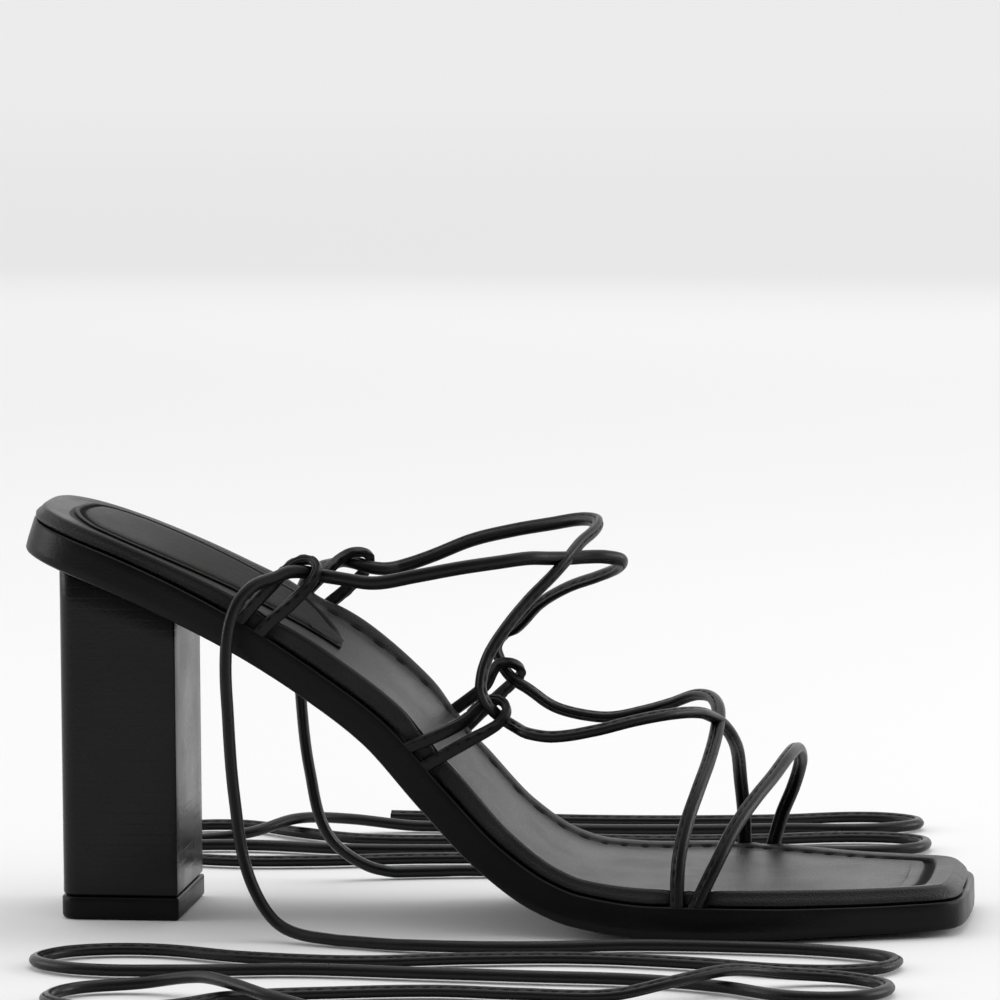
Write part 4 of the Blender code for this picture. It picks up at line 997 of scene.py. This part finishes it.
# The two laces: rolled cords that start at the ball's sides, cross over the vamp, turn in a loop
# at each side of the arch, cross again over the instep and leave through the heel loops.
LATERAL_LACE_ROOT = 0.704
LATERAL_VAMP_ROWS = (
    (0.705, -0.926, 0.118), (0.711, -0.799, 0.218), (0.720, -0.609, 0.302), (0.727, -0.355, 0.369),
    (0.731, -0.090, 0.437), (0.729, 0.120, 0.484), (0.718, 0.310, 0.504), (0.699, 0.470, 0.499),
    (0.670, 0.609, 0.464), (0.640, 0.690, 0.430), (0.603, 0.736, 0.392), (0.570, 0.745, 0.368),
    (0.543, 0.725, 0.349),
)
LATERAL_INSTEP_ROWS = (
    (0.4925, 0.668, 0.449), (0.504, 0.635, 0.495), (0.532, 0.546, 0.635), (0.565, 0.428, 0.748),
    (0.601, 0.279, 0.826), (0.623, 0.130, 0.868), (0.630, -0.025, 0.903), (0.615, -0.130, 0.912),
    (0.597, -0.203, 0.906), (0.582, -0.274, 0.893), (0.563, -0.368, 0.874), (0.543, -0.475, 0.847),
    (0.515, -0.571, 0.784), (0.473, -0.645, 0.656), (0.430, -0.685, 0.506), (0.387, -0.695, 0.368),
)
MEDIAL_LACE_ROOT = 0.743
MEDIAL_VAMP_ROWS = (
    (0.743, 0.926, 0.118), (0.742, 0.761, 0.236), (0.743, 0.508, 0.334), (0.741, 0.241, 0.398),
    (0.734, 0.050, 0.448), (0.727, -0.100, 0.475), (0.716, -0.340, 0.503), (0.691, -0.571, 0.513),
    (0.656, -0.705, 0.500), (0.617, -0.776, 0.463), (0.573, -0.780, 0.410), (0.546, -0.749, 0.377),
)
MEDIAL_INSTEP_ROWS = (
    (0.503, -0.665, 0.490), (0.517, -0.609, 0.590), (0.543, -0.475, 0.732), (0.566, -0.385, 0.832),
    (0.579, -0.300, 0.888), (0.590, -0.140, 0.938), (0.601, 0.080, 0.972), (0.600, 0.240, 0.985),
    (0.581, 0.381, 0.967), (0.545, 0.495, 0.895), (0.505, 0.570, 0.788), (0.458, 0.635, 0.621),
    (0.412, 0.673, 0.429), (0.379, 0.675, 0.318),
)
LOOP_WIDTH = 0.0030
EYE_ROOM = (CORD_WIDTH + LOOP_WIDTH) / 2.0 + CLEAR   # room between a lace and a loop's leg
# Turning points of the laces in the four loops, and where the two legs of each loop stand.
LOOP_ROWS = {
    # side, turn along, across and over, back leg root, front leg root
    "mid_lateral": (-1, 0.511, -0.685, 0.362, 0.421, 0.438),
    "mid_medial": (1, 0.496, 0.660, 0.348, 0.424, 0.441),
    "heel_lateral": (-1, 0.310, -0.685, 0.246, 0.245, 0.266),
    "heel_medial": (1, 0.330, 0.660, 0.236, 0.266, 0.287),
}

# Legs and eye of a loop: share of the way from its root to the turn, then forward, inward and up
# from there in units of LOOP_ROOM. A lace's way through a loop is in units of EYE_ROOM.
MID_BACK_LEG = ((0.38, 0.00, 0.00, 0.00), (0.67, 0.00, 0.30, 0.25))
MID_EYE = (
    (1.00, -0.76, 0.70, 0.84), (1.00, 0.26, 0.58, 0.90), (1.00, 0.90, 0.20, 0.55),
    (1.00, 1.10, -0.43, 0.00), (1.00, 0.77, -0.82, -0.62), (1.00, 0.15, -0.98, -1.18),
)
MID_FRONT_LEG = ((0.68, 0.00, -0.50, -0.85), (0.36, 0.00, -0.10, -0.45))
MID_LACE = (
    (1.25, 0.25, -1.05), (0.55, 0.30, -0.62), (-0.15, 0.08, 0.02), (-0.68, -0.36, 0.85),
    (-0.90, -0.45, 1.70),
)
HEEL_BACK_LEG = ((0.30, 0.00, 0.00, 0.55), (0.58, 0.00, 0.38, 0.95))
HEEL_EYE = (
    (1.00, -0.98, 0.66, 0.46), (1.00, -0.05, 0.76, 0.96), (1.00, 0.92, 0.46, 0.97),
    (1.00, 1.50, -0.18, 0.50), (1.00, 1.12, -0.60, -0.60),
)
HEEL_FRONT_LEG = ((0.70, 0.40, -0.48, -1.00), (0.33, 0.00, -0.30, -0.55))
HEEL_LACE = (
    (2.30, 0.40, -0.40), (1.20, 0.58, -0.26), (0.15, 0.25, 0.00), (-0.78, -0.36, 0.04),
    (-1.55, -0.95, -0.24),
)


def loop_turn(name):
    """Side of a loop, and the place where its lace turns."""
    side, along, across, over = LOOP_ROWS[name][:4]
    return side, strap_point((along, across, over))


def lace_through(name, offsets):
    """Places of a lace on its way through a loop."""
    side, turn = loop_turn(name)
    return [turn + Vector((forward, -side * inward, up)) * EYE_ROOM for forward, inward, up in offsets]


def lace_route(root, side, vamp, mid, instep, heel):
    """Route of a lace from its root through a mid loop and a heel loop."""
    route = [root_point(root, side)] + [strap_point(row) for row in vamp] + lace_through(mid, MID_LACE)
    return route + [strap_point(row) for row in instep] + lace_through(heel, HEEL_LACE)


lateral_lace = lace_route(LATERAL_LACE_ROOT, -1.0, LATERAL_VAMP_ROWS, "mid_medial",
                          LATERAL_INSTEP_ROWS, "heel_lateral")
medial_lace = lace_route(MEDIAL_LACE_ROOT, 1.0, MEDIAL_VAMP_ROWS, "mid_lateral",
                         MEDIAL_INSTEP_ROWS, "heel_medial")
strap("lace_lateral", "crossed_straps", lateral_lace, CORD_WIDTH, CORD_THICKNESS, OUTWARD,
      LATERAL_THIN_WAY, (True, False))
strap("lace_medial", "crossed_straps", medial_lace, CORD_WIDTH, CORD_THICKNESS, -OUTWARD,
      MEDIAL_THIN_WAY, (True, False))

# The four loops: narrower strips of the same leather, folded flat and glued, that stand in the seam
# beside the footbed and turn the laces. Their cut edges meet in a fine line along one side.
LOOP_THICKNESS = 0.0020
LOOP_ROOM = 0.0027           # between a loop's eye and the lace in it
EYE_NARROWING = 0.28
LOOP_STEP = 0.0006
FOLD_STEP = 12               # degrees between two points of the section
CUT_LINE = 0.86              # how far out the leather stands at the cut edges

folded_section = []
for angle in range(0, 360, FOLD_STEP):
    square = math.cos(math.radians(angle)) ** 4 + math.sin(math.radians(angle)) ** 4
    folded_section.append((angle, CUT_LINE if angle == 180 else square ** -0.25))


def loop_route(name, back_leg, eye, front_leg):
    """Route of a loop from its back root round its eye to its front root."""
    side, turn = loop_turn(name)
    back_root = root_point(LOOP_ROWS[name][4], side)
    front_root = root_point(LOOP_ROWS[name][5], side)

    def along_leg(root, rows):
        return [root.lerp(turn, share) + Vector((forward, -side * inward, up)) * LOOP_ROOM
                for share, forward, inward, up in rows]

    route = [back_root] + along_leg(back_root, back_leg) + along_leg(back_root, eye)
    return route + along_leg(front_root, front_leg) + [front_root]


for name, node, legs in (
        ("mid_lateral", "mid_loop_lateral", (MID_BACK_LEG, MID_EYE, MID_FRONT_LEG)),
        ("mid_medial", "mid_loop_medial", (MID_BACK_LEG, MID_EYE, MID_FRONT_LEG)),
        ("heel_lateral", "heel_loop_lateral", (HEEL_BACK_LEG, HEEL_EYE, HEEL_FRONT_LEG)),
        ("heel_medial", "heel_loop_medial", (HEEL_BACK_LEG, HEEL_EYE, HEEL_FRONT_LEG))):
    side = Vector((0.0, float(LOOP_ROWS[name][0]), 0.0))
    strap("loop_" + name, node, loop_route(name, *legs), LOOP_WIDTH, LOOP_THICKNESS,
          side, -side, step=LOOP_STEP, section=folded_section, narrowing=EYE_NARROWING)

# Studio: a pale paper floor that runs out to the horizon and brightens on the way, soft light from
# all round that is dimmer on the camera's side, and four soft lamps.
FLOOR_REACH = 30.0
FLOOR_HEIGHT = -0.0001


def add_gradient(tree, place, start, end, low, high):
    """Smooth change from low to high along the way into the picture."""
    split = add_node(tree, "ShaderNodeSeparateXYZ")
    tree.links.new(place, split.inputs["Vector"])
    change = add_node(tree, "ShaderNodeMapRange", {
        "From Min": start, "From Max": end, "To Min": low, "To Max": high})
    change.interpolation_type = "SMOOTHSTEP"
    tree.links.new(split.outputs["Y"], change.inputs["Value"])
    return change.outputs["Result"]


floor_mesh = bpy.data.meshes.new("floor")
corners = [(x * FLOOR_REACH, y * FLOOR_REACH, FLOOR_HEIGHT)
           for x, y in ((-1, -1), (1, -1), (1, 1), (-1, 1))]
floor_mesh.from_pydata(corners, [], [(0, 1, 2, 3)])
floor = bpy.data.objects.new("floor", floor_mesh)
bpy.context.scene.collection.objects.link(floor)
floor_paint = bpy.data.materials.new("pale floor")
floor_paint.use_nodes = True
tree = floor_paint.node_tree
paper = tree.nodes["Principled BSDF"]
place = add_node(tree, "ShaderNodeTexCoord").outputs["Object"]
tree.links.new(add_gradient(tree, place, 0.3, 4.0, 0.79, 0.98), paper.inputs["Base Color"])
paper.inputs["Roughness"].default_value = 0.9
paper.inputs["Specular IOR Level"].default_value = 0.0
floor_mesh.materials.append(floor_paint)

world = bpy.data.worlds.new("studio")
world.use_nodes = True
tree = world.node_tree
background = tree.nodes["Background"]
background.inputs["Color"].default_value = (1.0, 1.0, 1.0, 1.0)
place = add_node(tree, "ShaderNodeTexCoord").outputs["Generated"]
tree.links.new(add_gradient(tree, place, -0.85, 0.0, 0.20, 1.06), background.inputs["Strength"])
bpy.context.scene.world = world
bpy.context.scene.view_settings.view_transform = "Standard"


def lamp(name, place, aim, size, power):
    data = bpy.data.lights.new(name, "AREA")
    data.shape = "RECTANGLE"
    data.size, data.size_y = size
    data.energy = power
    item = bpy.data.objects.new(name, data)
    item.location = place
    item.rotation_euler = (Vector(aim) - Vector(place)).to_track_quat("-Z", "Y").to_euler()
    bpy.context.scene.collection.objects.link(item)


lamp("top_lamp", (0.1, 0.5, 1.6), (0.0, 0.0, 0.0), (1.4, 0.8), 5.0)
lamp("back_lamp", (0.15, 1.8, 0.42), (0.0, 0.0, 0.03), (1.6, 0.35), 1.0)
lamp("right_lamp", (1.4, 0.3, 0.5), (0.0, 0.0, 0.05), (0.8, 0.8), 10.0)
lamp("left_lamp", (-1.4, -0.1, 0.5), (0.0, 0.0, 0.05), (0.8, 0.8), 6.0)
